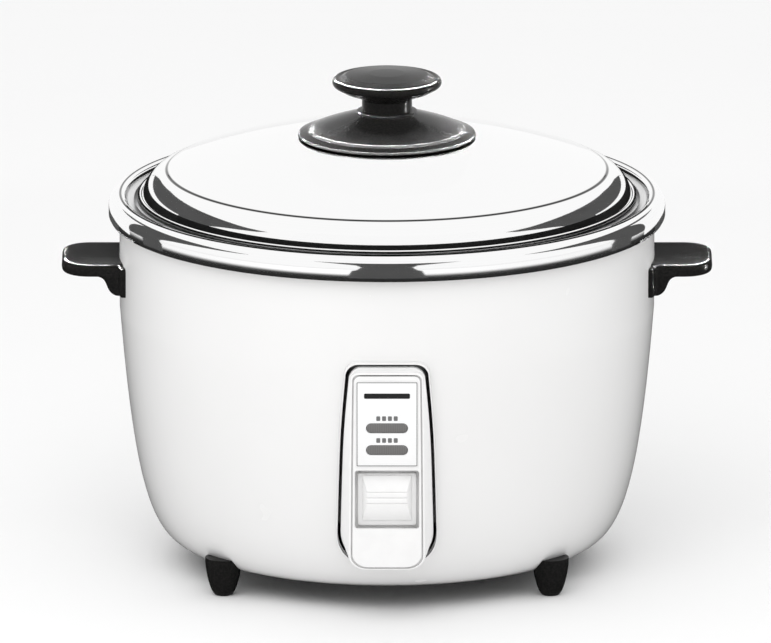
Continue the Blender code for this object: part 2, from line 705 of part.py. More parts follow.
def lever_mounting():
    """The bracket under the liner's floor, and the pin that the lever turns on."""
    top = LINER_FLOOR_Z - GAP
    ear_out, ear_in, ear_z = 0.0145, 0.0130, 0.0460
    outline = [
        (-ear_out, top),
        (ear_out, top),
        (ear_out, ear_z),
        (ear_in, ear_z),
        (ear_in, top - SHEET),
        (-ear_in, top - SHEET),
        (-ear_in, ear_z),
        (-ear_out, ear_z),
    ]
    front, back = LEVER_PIVOT[1] - 0.0070, LEVER_PIVOT[1] + 0.0070
    bracket = skinned([[(x, y, z) for x, z in outline] for y in (front, back)])
    bracket = place("lever_bracket", bracket, "galvanised_steel")
    pivot = Vector(LEVER_PIVOT)
    reach = Vector((0.0165, 0, 0))
    hole = rod(pivot - 2 * reach, pivot + 2 * reach, PIN_R + GAP, 12)
    combine(bracket, guide("bracket_hole", hole), "DIFFERENCE")
    pin = rod(pivot - reach, pivot + reach, PIN_R * math.cos(math.pi / 12), 12)
    place("lever_pivot_pin", pin, "zinc_steel")
    spring = coil(0.0040, 0.0005, LEVER_ARM_Z + LEVER_THICK / 2 + GAP, top, 5)
    place("lever_spring", spring, "spring_steel", (0, -0.0350, 0))


def microswitch(plunger_axis):
    """The heating circuit's switch, pressed by the lever's inner arm."""
    x, y = plunger_axis.location.x, plunger_axis.location.y
    base, top = 0.0460, LINER_FLOOR_Z - GAP
    half, long_half = 0.0052, 0.0140
    case = block((x - half, y - long_half, base), (x + half, y + long_half, top))
    case = place("microswitch", case, "dark_plastic")
    bore = rod((x, y, base - 0.001), (x, y, 0.0550), 0.0018)
    combine(case, guide("plunger_bore", bore), "DIFFERENCE")
    tip = LEVER_ARM_Z + LEVER_THICK / 2 + 0.0004
    plunger = rod((x, y, tip), (x, y, 0.0520), 0.0013)
    place("microswitch_plunger", plunger, "white_plastic", parent=plunger_axis)


# Heater, thermostat and wiring pieces


def element_end_y():
    return math.sqrt(ELEMENT_R**2 - ELEMENT_END_X**2)


def heater():
    """A cast plate with the sheathed element in a groove under it, on a support ring."""
    base, top = PLATE_Z
    groove = ELEMENT_TUBE_R + 0.0012
    profile = [
        (PLATE_HOLE_R, base),
        (ELEMENT_R - groove, base),
        (ELEMENT_R - groove, base + 0.0050),
        (ELEMENT_R + groove, base + 0.0050),
        (ELEMENT_R + groove, base),
        (PLATE_R - 0.0040, base),
        (PLATE_R, base + 0.0050),
        (PLATE_R, top - 0.0020),
        (PLATE_R - 0.0020, top),
        (PLATE_HOLE_R, top),
    ]
    place("heater_plate", spun(profile, sides=SMALL_ROUND), "cast_aluminium")
    low, high = LINER_FLOOR_Z + LINER_SHEET + GAP, base - GAP
    ring = [(0.0970, low), (0.1030, low), (0.1030, high), (0.0970, high)]
    place("heater_support_ring", spun(ring, sides=24), "galvanised_steel")
    heating_element()


def heating_element():
    gap_angle = math.degrees(math.asin(ELEMENT_END_X / ELEMENT_R))
    ring = arc_points((0, 0), ELEMENT_R, 90 + gap_angle, 450 - gap_angle, 22)
    z = ELEMENT_Z
    first, last = ring[0], ring[-1]
    points = [(*first, ELEMENT_END_Z), (*first, z - 0.004)]
    points += [(x, y, z) for x, y in ring[1:-1]]
    points += [(*last, z - 0.004), (*last, ELEMENT_END_Z)]
    curve = bpy.data.curves.new("heater_element", "CURVE")
    curve.dimensions = "3D"
    line = curve.splines.new("POLY")
    line.points.add(len(points) - 1)
    for slot, point in zip(line.points, points):
        slot.co = (*point, 1)
    curve.bevel_depth = ELEMENT_TUBE_R
    curve.bevel_resolution = 2
    curve.use_fill_caps = True
    curve.materials.append(finish("galvanised_steel"))
    element = bpy.data.objects.new("heater_element", curve)
    bpy.context.scene.collection.objects.link(element)


def thermostat(sensor_axis, magnet_axis):
    """Magnetic thermostat: a sprung cup against the pan, and a magnet that the lever lifts."""
    wall = 0.0008
    holder = [
        (0.0030, HOLDER_Z),
        (0.0235, HOLDER_Z),
        (0.0235, LINER_FLOOR_Z - GAP - SHEET),
        (0.0310, LINER_FLOOR_Z - GAP - SHEET),
        (0.0310, LINER_FLOOR_Z - GAP),
        (0.0223, LINER_FLOOR_Z - GAP),
        (0.0223, HOLDER_Z + SHEET),
        (0.0030, HOLDER_Z + SHEET),
    ]
    place("thermostat_holder", spun(holder, sides=SMALL_ROUND), "galvanised_steel")
    base, top = CAP_Z
    cap = [
        (0, top - 2 * wall),
        (CAP_R - wall, top - 2 * wall),
        (CAP_R - wall, base),
        (CAP_FLANGE_R, base),
        (CAP_FLANGE_R, base + 0.0010),
        (CAP_R, base + 0.0010),
        (CAP_R, top - 0.0010),
        (CAP_R - 0.0010, top),
        (0, top),
    ]
    place("sensor_cap", spun(cap, sides=SMALL_ROUND), "pan_aluminium", parent=sensor_axis)
    low, high = FERRITE_Z
    ferrite = [(0, low), (0.0155, low), (0.0155, high - GAP), (0, high - GAP)]
    place("sensor_ferrite", spun(ferrite, sides=SMALL_ROUND), "ferrite", parent=sensor_axis)
    sensor_spring = coil(0.0188, 0.0007, HOLDER_Z + SHEET + GAP, base - GAP, 3)
    place("sensor_spring", sensor_spring, "spring_steel", parent=sensor_axis)
    flange_r, flange_base = 0.0154, MAGNET_Z[0] - GAP - 0.0014
    shaft = [
        (0, 0.0365),
        (ROD_R, 0.0365),
        *collar(0.0382),
        *collar(0.0439),
        (ROD_R, flange_base),
        (flange_r, flange_base),
        (flange_r, MAGNET_Z[0] - GAP),
        (0, MAGNET_Z[0] - GAP),
    ]
    place("magnet_rod", spun(shaft, sides=12), "brass", parent=magnet_axis)
    magnet = [(0, MAGNET_Z[0]), (0.0130, MAGNET_Z[0]), (0.0130, MAGNET_Z[1]), (0, MAGNET_Z[1])]
    place("magnet", spun(magnet, sides=SMALL_ROUND), "ferrite", parent=magnet_axis)
    magnet_spring = coil(0.0145, 0.0005, MAGNET_Z[0], FERRITE_Z[0] - GAP, 3)
    place("magnet_spring", magnet_spring, "spring_steel", parent=sensor_axis)


def collar(z):
    """One collar of the magnet rod, as part of its profile."""
    return [(ROD_R, z), (2 * ROD_R, z), (2 * ROD_R, z + 0.0010), (ROD_R, z + 0.0010)]


def electrical_pieces():
    top = LINER_FLOOR_Z - GAP
    place("terminal_block", block((-0.020, 0.103, 0.0500), (0.020, 0.119, top)), "white_plastic")
    place("thermal_fuse", rod((0.045, 0.070, 0.0575), (0.080, 0.070, 0.0575), 0.0032, 12), "silicone")
    disc = [(0, 0.0500), (0.0080, 0.0500), (0.0080, 0.0580), (0.0110, 0.0580), (0.0110, top), (0, top)]
    place("keep_warm_thermostat", spun(disc, sides=16), "dark_plastic", (-0.060, 0.060, 0))


def power_inlet():
    """Appliance inlet low on the back: a plastic socket with three pins."""
    half, (low_y, high_y), (low_z, high_z) = INLET_HALF, INLET_Y, INLET_Z
    inlet = place("power_inlet", block((-half, low_y, low_z), (half, high_y, high_z)), "dark_plastic")
    low = (-half + INLET_RIM, INLET_SOCKET_Y, low_z + INLET_RIM)
    high = (half - INLET_RIM, high_y + 0.001, high_z - INLET_RIM)
    combine(inlet, guide("inlet_socket", block(low, high)), "DIFFERENCE")
    bores = []
    for i, (x, z) in enumerate(INLET_PINS, 1):
        pin = rod((x, low_y - 0.006, z), (x, INLET_SOCKET_Y + 0.011, z), INLET_PIN_R * 0.95)
        place(f"inlet_pin_{i}", pin, "brass")
        bores.append(rod((x, low_y - 0.001, z), (x, INLET_SOCKET_Y + 0.001, z), INLET_PIN_R + GAP))
    combine(inlet, guide("inlet_bores", together(bores)), "DIFFERENCE")


# Pan, lid and knob


def pan(axis):
    """Spun aluminium pan with a flat rim."""
    centre = (PAN_LOW_R - PAN_CORNER, PAN_BASE_Z + PAN_CORNER)
    outer = [(0, PAN_BASE_Z), *arc_points(centre, PAN_CORNER, -90, 0, 4)]
    outer += [(PAN_TOP_R, 0.2400), (PAN_TOP_R + 0.0010, 0.2470), (PAN_TOP_R + 0.0032, PAN_RIM_Z - 0.0017)]
    outer.append((PAN_RIM_R, PAN_RIM_Z - 0.0017))
    inner = [(0, PAN_BASE_Z + PAN_WALL), *arc_points(centre, PAN_CORNER - PAN_WALL, -90, 0, 4)]
    inner += [(PAN_TOP_R - PAN_WALL, 0.2400), (PAN_TOP_R - 0.0010, 0.2486), (PAN_TOP_R + 0.0020, PAN_RIM_Z)]
    inner.append((PAN_RIM_R, PAN_RIM_Z))
    place("pan", spun(outer + inner[::-1]), "pan_aluminium", parent=axis)


def dome_z(r):
    """Height of the lid's dome at radius r."""
    return LID_TOP_Z - LID_DOME_R + math.sqrt(LID_DOME_R**2 - r * r)


def lid(axis):
    """A shallow dome with a steep skirt and a rolled edge that rests on the pan's rim."""
    radii = [KNOB_HOLE_R + (LID_SHOULDER_R - 0.002 - KNOB_HOLE_R) * i / 4 for i in range(5)]
    outer = [(r, dome_z(r)) for r in radii]
    edge_z = PAN_RIM_Z + GAP + LID_ROLL
    low = (LID_EDGE_R - 2 * LID_ROLL, edge_z + LID_ROLL)
    shoulder = outer[-1]
    lead = (shoulder[0] + 0.0040, shoulder[1] - 0.0012)
    outer += curve_points(shoulder, lead, (low[0] - 0.0030, low[1] + 0.0040), low, 3)[1:]
    roll_centre = (LID_EDGE_R - LID_ROLL, edge_z)
    inner = offset_points(outer, -LID_SHEET)
    inner[0] = (KNOB_HOLE_R, inner[0][1])
    roll = arc_points(roll_centre, LID_ROLL, 90, -150, 4)
    place("lid", spun(outer[:-1] + roll + inner[:-1][::-1]), "polished_steel", parent=axis)


def knob(axis):
    bore = KNOB_HOLE_R
    under = [(r, dome_z(r) + 2 * GAP) for r in (bore, 0.0300, 0.0598)]
    neck = KNOB_NECK_Z - GAP
    top = [
        (KNOB_BASE_R, 0.2952),
        (0.0588, 0.2972),
        (KNOB_BASE_CREST_R, 0.2992),
        (0.0360, 0.3052),
        (0.0205, 0.3106),
        (0.0199, neck),
        (bore, neck),
    ]
    place("knob_base", spun(under + top, sides=SMALL_ROUND), "black_phenolic", parent=axis)
    screw_r = 0.0026
    profile = [
        (0, 0.3270),
        (screw_r, 0.3270),
        (screw_r, KNOB_NECK_Z),
        (KNOB_NECK_R, KNOB_NECK_Z),
        (KNOB_NECK_R, 0.3206),
        (0.0196, 0.3224),
        (0.0300, 0.3248),
        (0.0357, 0.3282),
        (KNOB_R, 0.3312),
        (0.0359, 0.3338),
        (0.0332, 0.3349),
        (0.0320, 0.3344),
        (0.0240, 0.3361),
        (0.0120, 0.3372),
        (0, KNOB_TOP_Z),
    ]
    place("knob", spun(profile, sides=SMALL_ROUND), "black_phenolic", parent=axis)
    underside = dome_z(0.0090) - LID_SHEET - 2 * GAP
    low, inner_r, outer_r = underside - 0.0015, 0.0028, 0.0090
    washer = [(inner_r, low), (outer_r, low), (outer_r, underside), (inner_r, underside)]
    place("knob_washer", spun(washer, sides=16), "silicone", parent=axis)
    screw = screw_mesh("knob_screw", 0.0060, 0.0028, 0.0022, 0.0290)
    place("knob_screw", screw, "zinc_steel", (0, 0, low - GAP), (math.pi, 0, 0), parent=axis)


def build():
    clear_scene()
    pan_axis = axis_empty("pan_axis", (0, 0, PAN_RIM_Z))
    lid_axis = axis_empty("lid_axis", (0, 0, PAN_RIM_Z + GAP))
    lever_axis = axis_empty("lever_axis", LEVER_PIVOT)
    sensor_axis = axis_empty("sensor_axis", (0, 0, CAP_Z[0]))
    magnet_axis = axis_empty("magnet_axis", (0, 0, LEVER_ARM_Z))
    plunger_axis = axis_empty("plunger_axis", (0, -0.0700, 0.0460))
    space = body_space()
    body_shell()
    top_ring()
    inner_liner()
    bottom_cover()
    handles(space)
    feet(space)
    panel_bezel(space)
    panel_screws()
    label_plate()
    lamps()
    switch_key(lever_axis)
    switch_lever(lever_axis)
    lever_mounting()
    microswitch(plunger_axis)
    heater()
    thermostat(sensor_axis, magnet_axis)
    electrical_pieces()
    power_inlet()
    pan(pan_axis)
    lid(lid_axis)
    knob(lid_axis)


build()
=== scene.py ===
import json
import math

import bmesh
import bpy
from mathutils import Matrix, Vector

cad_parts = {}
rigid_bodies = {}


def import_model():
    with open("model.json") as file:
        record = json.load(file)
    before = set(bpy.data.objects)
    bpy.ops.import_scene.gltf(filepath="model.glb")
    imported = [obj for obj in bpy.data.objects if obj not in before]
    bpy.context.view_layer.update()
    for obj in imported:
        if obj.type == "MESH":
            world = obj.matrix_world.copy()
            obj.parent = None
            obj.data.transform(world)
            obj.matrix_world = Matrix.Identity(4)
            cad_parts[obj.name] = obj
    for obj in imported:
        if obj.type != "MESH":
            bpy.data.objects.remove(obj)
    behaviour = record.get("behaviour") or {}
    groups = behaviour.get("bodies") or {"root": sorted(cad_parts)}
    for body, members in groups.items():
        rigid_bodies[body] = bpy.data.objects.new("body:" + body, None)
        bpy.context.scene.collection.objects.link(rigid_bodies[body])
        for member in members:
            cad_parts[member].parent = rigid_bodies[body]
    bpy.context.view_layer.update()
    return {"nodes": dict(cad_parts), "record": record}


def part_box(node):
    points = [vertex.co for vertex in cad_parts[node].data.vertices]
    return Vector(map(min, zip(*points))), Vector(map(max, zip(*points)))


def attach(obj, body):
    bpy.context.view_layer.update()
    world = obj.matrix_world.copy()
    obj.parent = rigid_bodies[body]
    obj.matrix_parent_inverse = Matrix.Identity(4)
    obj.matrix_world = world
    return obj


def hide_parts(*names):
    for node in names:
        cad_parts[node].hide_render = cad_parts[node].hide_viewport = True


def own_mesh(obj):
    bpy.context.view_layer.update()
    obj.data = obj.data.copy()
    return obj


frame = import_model()
nodes = frame["nodes"]
print("frame loaded:", len(nodes), "nodes")

maker = {
    "sides": 192,  # of the large turned pieces
    "gap": 0.0003,  # between pieces that touch
    "sheet": 0.0012,
    "past": 0.001,  # how far a cutting shape reaches past the surface
    "smoothUnder": 38,  # degrees; gentler edges are shaded smooth
    "roundOver": 30,  # degrees; only harder edges are rounded
}


class Wire:
    # A socket in a material's nodes. Python's operators add the Math nodes.
    def __init__(self, tree, socket=None):
        self.tree = tree
        self.socket = socket

    def node(self, kind, settings=None, values=None, output=0):
        made = self.tree.nodes.new(kind)
        for name, value in (settings or {}).items():
            setattr(made, name, value)
        for name, value in (values or {}).items():
            if isinstance(value, Wire):
                self.tree.links.new(value.socket, made.inputs[name])
            else:
                made.inputs[name].default_value = value
        return Wire(self.tree, made.outputs[output])

    def maths(self, operation, first, second=0.0):
        return self.node("ShaderNodeMath", {"operation": operation}, {0: first, 1: second})

    def __add__(self, other):
        return self.maths("ADD", self, other)

    def __radd__(self, other):
        return self.maths("ADD", other, self)

    def __sub__(self, other):
        return self.maths("SUBTRACT", self, other)

    def __rsub__(self, other):
        return self.maths("SUBTRACT", other, self)

    def __mul__(self, other):
        return self.maths("MULTIPLY", self, other)

    def __rmul__(self, other):
        return self.maths("MULTIPLY", other, self)

    def above(self, edge, softness):
        # 0 under the edge and 1 over it
        ends = {0: self, 1: edge - softness, 2: edge + softness}
        return self.node("ShaderNodeMapRange", {"interpolation_type": "SMOOTHSTEP"}, ends)

    def mixed(self, first, second):
        # this value picks between two colours
        colours = {0: self, 6: first, 7: second}
        return self.node("ShaderNodeMix", {"data_type": "RGBA"}, colours, output=2)


def grey(value, tint=0.0):
    return (value + tint, value, value - tint, 1.0)


class Finish:
    # One material: steady values sit on the shader, and what varies is linked to it.
    def __init__(self, name, steady):
        self.material = bpy.data.materials.new(name)
        self.material.use_nodes = True
        self.shader = self.material.node_tree.nodes["Principled BSDF"]
        for socket, value in steady.items():
            self.shader.inputs[socket].default_value = value
        self.start = Wire(self.material.node_tree)
        self.place = self.start.node("ShaderNodeTexCoord", output="Object")

    def stretched(self, factors):
        # the place on the piece, scaled along each axis
        return self.start.node("ShaderNodeVectorMath", {"operation": "MULTIPLY"}, {0: self.place, 1: factors})

    def noise(self, scale, detail=2.0, stretch=None):
        place = self.stretched(stretch) if stretch else self.place
        return self.start.node("ShaderNodeTexNoise", None, {"Vector": place, "Scale": scale, "Detail": detail})

    def radius(self):
        flat = self.stretched((1, 1, 0))
        return self.start.node("ShaderNodeVectorMath", {"operation": "LENGTH"}, {0: flat}, output="Value")

    def rings(self, scale):
        # fine turning marks, which follow the distance from the axis and the height
        height = self.start.node("ShaderNodeSeparateXYZ", None, {0: self.place}, output="Z")
        marks = {"W": self.radius() + height * 0.7, "Scale": scale, "Detail": 3.0}
        return self.start.node("ShaderNodeTexNoise", {"noise_dimensions": "1D"}, marks)

    def link(self, socket, wire):
        self.material.node_tree.links.new(wire.socket, self.shader.inputs[socket])

    def bump(self, height, strength, depth):
        values = {"Strength": strength, "Distance": depth, "Height": height}
        self.link("Normal", self.start.node("ShaderNodeBump", None, values))


def paintedSteel():
    # stoved white enamel: slight orange peel under a clear gloss
    finish = Finish("stovedEnamel", {"IOR": 1.52, "Coat Weight": 0.6, "Coat Roughness": 0.06})
    cloud = finish.noise(7.0)
    finish.link("Base Color", cloud.above(0.5, 0.3).mixed(grey(0.88, 0.003), grey(0.855, 0.004)))
    finish.link("Roughness", 0.20 + finish.noise(38.0) * 0.10)
    finish.bump(finish.noise(430.0), 0.10, 0.00006)
    return finish.material


def turnedMetal(name, look):
    # spun or turned metal: fine rings, faint smudges in the polish, and where asked a painted dark line of
    # shade along a crease
    finish = Finish(name, {"Metallic": 1.0, "IOR": 1.8})
    rings = finish.rings(look["rings"])
    tone = rings.mixed(look["light"], look["shade"])
    if "crease" in look:
        # a painted dark line of shade along the pressed line
        radius, half, creaseShade = look["crease"]
        away = finish.start.maths("ABSOLUTE", finish.radius() - radius)
        tone = away.above(half, half * 0.6).mixed(creaseShade, tone)
    finish.link("Base Color", tone)
    smudge = finish.noise(24.0, 4.0).above(0.6, 0.2) * look["smudge"]
    finish.link("Roughness", look["rough"] + rings * look["ringRough"] + smudge)
    finish.bump(rings, look["bump"], 0.00002)
    return finish.material


def castMetal(name, look):
    # plain or plated metal with a grain that has no direction
    finish = Finish(name, {"Metallic": 1.0, "IOR": 1.6})
    grain = finish.noise(look["grain"], 4.0)
    patch = finish.noise(look["grain"] * 0.08)
    finish.link("Base Color", patch.above(0.5, 0.25).mixed(look["light"], look["shade"]))
    finish.link("Roughness", look["rough"] + grain * 0.22)
    finish.bump(grain, look["bump"], 0.00008)
    return finish.material


def zincSheet():
    # hot-dipped sheet with its flat crystals
    finish = Finish("spangledZinc", {"Metallic": 1.0, "IOR": 1.6})
    crystals = {"Vector": finish.place, "Scale": 130.0}
    spangle = finish.start.node("ShaderNodeTexVoronoi", None, crystals, output="Color")
    tone = finish.start.node("ShaderNodeSeparateColor", None, {0: spangle})
    finish.link("Base Color", tone.mixed(grey(0.50), grey(0.66, -0.006)))
    finish.link("Roughness", 0.30 + tone * 0.16)
    finish.bump(finish.noise(900.0), 0.08, 0.00004)
    return finish.material


def moulding(name, look):
    # moulded plastic or phenolic: a faint grain, and gloss that wanders a little
    finish = Finish(name, {"IOR": look.get("ior", 1.49), "Coat Roughness": 0.08})
    fleck = finish.noise(look["fleck"], 3.0)
    finish.link("Base Color", fleck.above(0.52, 0.2).mixed(look["light"], look["shade"]))
    finish.link("Roughness", look["rough"] + finish.noise(55.0) * look["wander"])
    finish.bump(finish.noise(look["grain"]), look["bump"], 0.00005)
    return finish.material


def brushedLabel():
    finish = Finish("brushedLabel", {"IOR": 1.5, "Coat Weight": 0.2, "Coat Roughness": 0.2})
    strokes = finish.noise(1.0, 5.0, (60.0, 60.0, 5200.0))
    finish.link("Base Color", strokes.mixed(grey(0.93), grey(0.86)))
    finish.link("Roughness", 0.30 + strokes * 0.20)
    finish.bump(strokes, 0.05, 0.00002)
    return finish.material


def smokedLens(name, tint):
    # ribbed grey lens with a little depth
    steady = {"IOR": 1.49, "Transmission Weight": 0.12, "Coat Weight": 0.5, "Coat Roughness": 0.05}
    finish = Finish(name, steady)
    across = finish.start.node("ShaderNodeSeparateXYZ", None, {0: finish.place}, output="X")
    ribs = finish.start.maths("SINE", across * 5200.0) * 0.5 + 0.5
    finish.link("Base Color", ribs.mixed(grey(0.165, tint), grey(0.215, tint)))
    finish.link("Roughness", 0.16 + finish.noise(60.0) * 0.10)
    finish.bump(ribs, 0.25, 0.00010)
    return finish.material


def printedInk(name, value):
    finish = Finish(name, {"IOR": 1.45})
    finish.link("Base Color", finish.noise(900.0).mixed(grey(value), grey(value * 1.5)))
    finish.link("Roughness", 0.42 + finish.noise(300.0) * 0.2)
    finish.bump(finish.noise(2600.0), 0.10, 0.00002)
    return finish.material


def studioCard(name, socket, first, second, scale, steady=None):
    # matt, so that its own gloss shows in no reflection
    finish = Finish(name, {"Specular IOR Level": 0.0} | (steady or {}))
    finish.link(socket, finish.noise(scale).mixed(first, second))
    return finish.material


def buildFinishes():
    steel = {"light": grey(0.97), "shade": grey(0.93), "rings": 2400.0, "rough": 0.04}
    steel |= {"ringRough": 0.03, "smudge": 0.02, "bump": 0.04}
    pan = {"light": grey(0.83), "shade": grey(0.72), "rings": 1500.0, "rough": 0.24}
    pan |= {"ringRough": 0.16, "smudge": 0.06, "bump": 0.22}
    plate = {"light": grey(0.66), "shade": grey(0.52), "rings": 900.0, "rough": 0.34}
    plate |= {"ringRough": 0.20, "smudge": 0.10, "bump": 0.45}
    phenolic = {"light": grey(0.0090), "shade": grey(0.0150, 0.0006), "fleck": 700.0}
    phenolic |= {"rough": 0.14, "wander": 0.08, "grain": 900.0, "bump": 0.04, "ior": 1.12}
    white = {"light": grey(0.88, 0.003), "shade": grey(0.855, 0.003), "fleck": 90.0}
    white |= {"rough": 0.30, "wander": 0.10, "grain": 2100.0, "bump": 0.12}
    dark = {"light": grey(0.030), "shade": grey(0.045), "fleck": 500.0}
    dark |= {"rough": 0.42, "wander": 0.12, "grain": 1700.0, "bump": 0.25}
    ferrite = dark | {"light": grey(0.060), "shade": grey(0.085), "rough": 0.60}
    rubber = dark | {"light": grey(0.55), "shade": grey(0.60), "rough": 0.60}
    glass = dark | {"light": grey(0.82, 0.03), "shade": grey(0.76, 0.04), "rough": 0.05}
    spring = {"light": grey(0.56), "shade": grey(0.42), "grain": 2600.0, "rough": 0.18, "bump": 0.10}
    plated = {"light": grey(0.74, 0.010), "shade": grey(0.62, 0.004), "grain": 1800.0}
    plated |= {"rough": 0.18, "bump": 0.08}
    brass = plated | {"light": (0.78, 0.60, 0.30, 1), "shade": (0.62, 0.45, 0.20, 1)}
    # the ring's crest and the lid's shoulder each get a painted dark line of shade, not a real mark on the
    # steel
    ringSteel = steel | {"crease": (0.1804, 0.00075, grey(0.04))}
    lidSteel = steel | {"crease": (0.1491, 0.00085, grey(0.04))}
    return {
        "white_enamel": paintedSteel(),
        "polished_steel": turnedMetal("polishedSteel", steel),
        "ringSteel": turnedMetal("polishedRingSteel", ringSteel),
        "lidSteel": turnedMetal("polishedLidSteel", lidSteel),
        "pan_aluminium": turnedMetal("spunAluminium", pan),
        "galvanised_steel": zincSheet(),
        "cast_aluminium": turnedMetal("machinedPlate", plate),
        "black_phenolic": moulding("blackPhenolic", phenolic),
        "white_plastic": moulding("whiteMoulding", white),
        "label_aluminium": brushedLabel(),
        "cook_lens": smokedLens("cookLensGrey", 0.004),
        "warm_lens": smokedLens("warmLensGrey", 0.004),
        "lamp_glass": moulding("lampGlass", glass),
        "dark_plastic": moulding("darkMoulding", dark),
        "spring_steel": castMetal("springWire", spring),
        "zinc_steel": castMetal("platedSteel", plated),
        "ferrite": moulding("pressedFerrite", ferrite),
        "brass": castMetal("bareBrass", brass),
        "silicone": moulding("softSilicone", rubber),
        "ink": printedInk("blackInk", 0.012),
        "fineInk": printedInk("greyInk", 0.13),
    }


finishes = buildFinishes()
recordSlots = {entry["node"]: entry["material_slot"] for entry in frame["record"]["subparts"]}
for nodeName, cadNode in nodes.items():
    cadNode.data.materials.clear()
    cadNode.data.materials.append(finishes[recordSlots[nodeName]])
print("finishes made:", len(finishes))


def curved(start, lead, trail, end, steps=24):
    # a cubic curve, both ends included
    line = []
    for i in range(steps + 1):
        t = i / steps
        weights = ((1 - t) ** 3, 3 * t * (1 - t) ** 2, 3 * t * t * (1 - t), t**3)
        pulls = list(zip(weights, (start, lead, trail, end)))
        line.append(tuple(sum(w * p[k] for w, p in pulls) for k in (0, 1)))
    return line


def arced(centre, radii, start, end, steps=12):
    angles = [math.radians(start + (end - start) * i / steps) for i in range(steps + 1)]
    return [(centre[0] + radii[0] * math.cos(a), centre[1] + radii[1] * math.sin(a)) for a in angles]


def filleted(corners, steps=5):
    # corners are (along, up) or (along, up, fillet); a filleted one becomes a short round
    line = []
    for i, corner in enumerate(corners):
        here = Vector(corner[:2])
        size = corner[2] if len(corner) > 2 else 0
        if not size:
            line.append(tuple(here))
            continue
        back = Vector(corners[i - 1][:2]) - here
        ahead = Vector(corners[(i + 1) % len(corners)][:2]) - here
        reach = min(size / math.tan(back.angle(ahead) / 2), 0.48 * back.length, 0.48 * ahead.length)
        first = here + back.normalized() * reach
        last = here + ahead.normalized() * reach
        for k in range(steps + 1):
            t = k / steps
            line.append(tuple(first * (1 - t) ** 2 + here * 2 * t * (1 - t) + last * t * t))
    return line


def shifted(line, distance):
    # the line moved to its left
    moved = []
    for i, point in enumerate(line):
        here = Vector(point)
        inward = (here - Vector(line[i - 1])).normalized() if i else None
        outward = (Vector(line[i + 1]) - here).normalized() if i < len(line) - 1 else inward
        inward = inward or outward
        middle = (inward + outward).normalized()
        left = Vector((-middle.y, middle.x))
        moved.append(tuple(here + left * distance / max(middle.dot(inward), 0.3)))
    return moved


def turned(outline, sides=maker["sides"]):
    # the outline, as (radius, height), spun about the vertical axis
    shape = bmesh.new()
    points = [shape.verts.new((max(r, 0), 0, z)) for r, z in outline]
    lines = [shape.edges.new(pair) for pair in zip(points, points[1:])]
    if outline[0][0] > 0 or outline[-1][0] > 0:
        lines.append(shape.edges.new((points[-1], points[0])))
    turn = {"axis": (0, 0, 1), "cent": (0, 0, 0), "angle": math.tau}
    bmesh.ops.spin(shape, geom=points + lines, steps=sides, use_merge=True, **turn)
    bmesh.ops.remove_doubles(shape, verts=shape.verts, dist=1e-6)
    bmesh.ops.recalc_face_normals(shape, faces=shape.faces)
    return shape


def skinned(rows, closed=True):
    # faces between rows of points that all have the same count
    shape = bmesh.new()
    grid = [[shape.verts.new(point) for point in row] for row in rows]
    for low, high in zip(grid, grid[1:]):
        for i in range(len(low) if closed else len(low) - 1):
            j = (i + 1) % len(low)
            shape.faces.new((low[i], low[j], high[j], high[i]))
    return shape, grid


def lofted(loops):
    # a closed solid over loops
    shape, grid = skinned(loops)
    shape.faces.new(grid[0])
    shape.faces.new(grid[-1])
    bmesh.ops.recalc_face_normals(shape, faces=shape.faces)
    return shape


def boxed(low, high):
    (x0, y0, z0), (x1, y1, z1) = low, high
    return lofted([[(x0, y0, z), (x1, y0, z), (x1, y1, z), (x0, y1, z)] for z in (z0, z1)])


def barred(start, end, radius):
    shape = bmesh.new()
    along = Vector(end) - Vector(start)
    turn = along.to_track_quat("Z", "Y").to_matrix().to_4x4()
    middle = Matrix.Translation((Vector(start) + Vector(end)) / 2)
    size = {"radius1": radius, "radius2": radius, "depth": along.length}
    bmesh.ops.create_cone(shape, cap_ends=True, segments=32, matrix=middle @ turn, **size)
    return shape


def gathered(shapes):
    # several solids in one bmesh
    result = bmesh.new()
    for shape in shapes:
        part = bpy.data.meshes.new("part")
        shape.to_mesh(part)
        shape.free()
        result.from_mesh(part)
        bpy.data.meshes.remove(part)
    return result


def smoothed(piece):
    piece.data.shade_smooth()
    piece.data.set_sharp_from_angle(angle=math.radians(maker["smoothUnder"]))
    return piece


def newPiece(name, shape, finish):
    mesh = bpy.data.meshes.new(name)
    shape.to_mesh(mesh)
    shape.free()
    mesh.materials.append(finishes[finish])
    piece = bpy.data.objects.new(name, mesh)
    bpy.context.scene.collection.objects.link(piece)
    return smoothed(piece)


def settled(piece):
    # the modifiers made part of the mesh
    bpy.context.view_layer.update()
    graph = bpy.context.evaluated_depsgraph_get()
    mesh = bpy.data.meshes.new_from_object(piece.evaluated_get(graph))
    piece.modifiers.clear()
    piece.data = mesh
    return smoothed(piece)


def carved(piece, shape, operation="DIFFERENCE"):
    tool = newPiece("carvingTool", shape, "dark_plastic")
    carve = piece.modifiers.new("carve", "BOOLEAN")
    carve.operation = operation
    carve.object = tool
    material = piece.data.materials[0]
    settled(piece)
    piece.data.materials.clear()
    piece.data.materials.append(material)
    bpy.data.objects.remove(tool)
    return piece


def eased(piece, width, segments=3):
    # hard edges given a small round
    bevel = piece.modifiers.new("ease", "BEVEL")
    bevel.width = width
    bevel.segments = segments
    bevel.limit_method = "ANGLE"
    bevel.angle_limit = math.radians(maker["roundOver"])
    bevel.use_clamp_overlap = True
    return settled(piece)


def fitted(piece, body, standsFor=()):
    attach(piece, body)
    if standsFor:
        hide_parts(*standsFor)
    return piece


def axisOf(node):
    # where the upright axis of a round piece stands
    low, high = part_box(node)
    return (low.x + high.x) / 2, (low.y + high.y) / 2


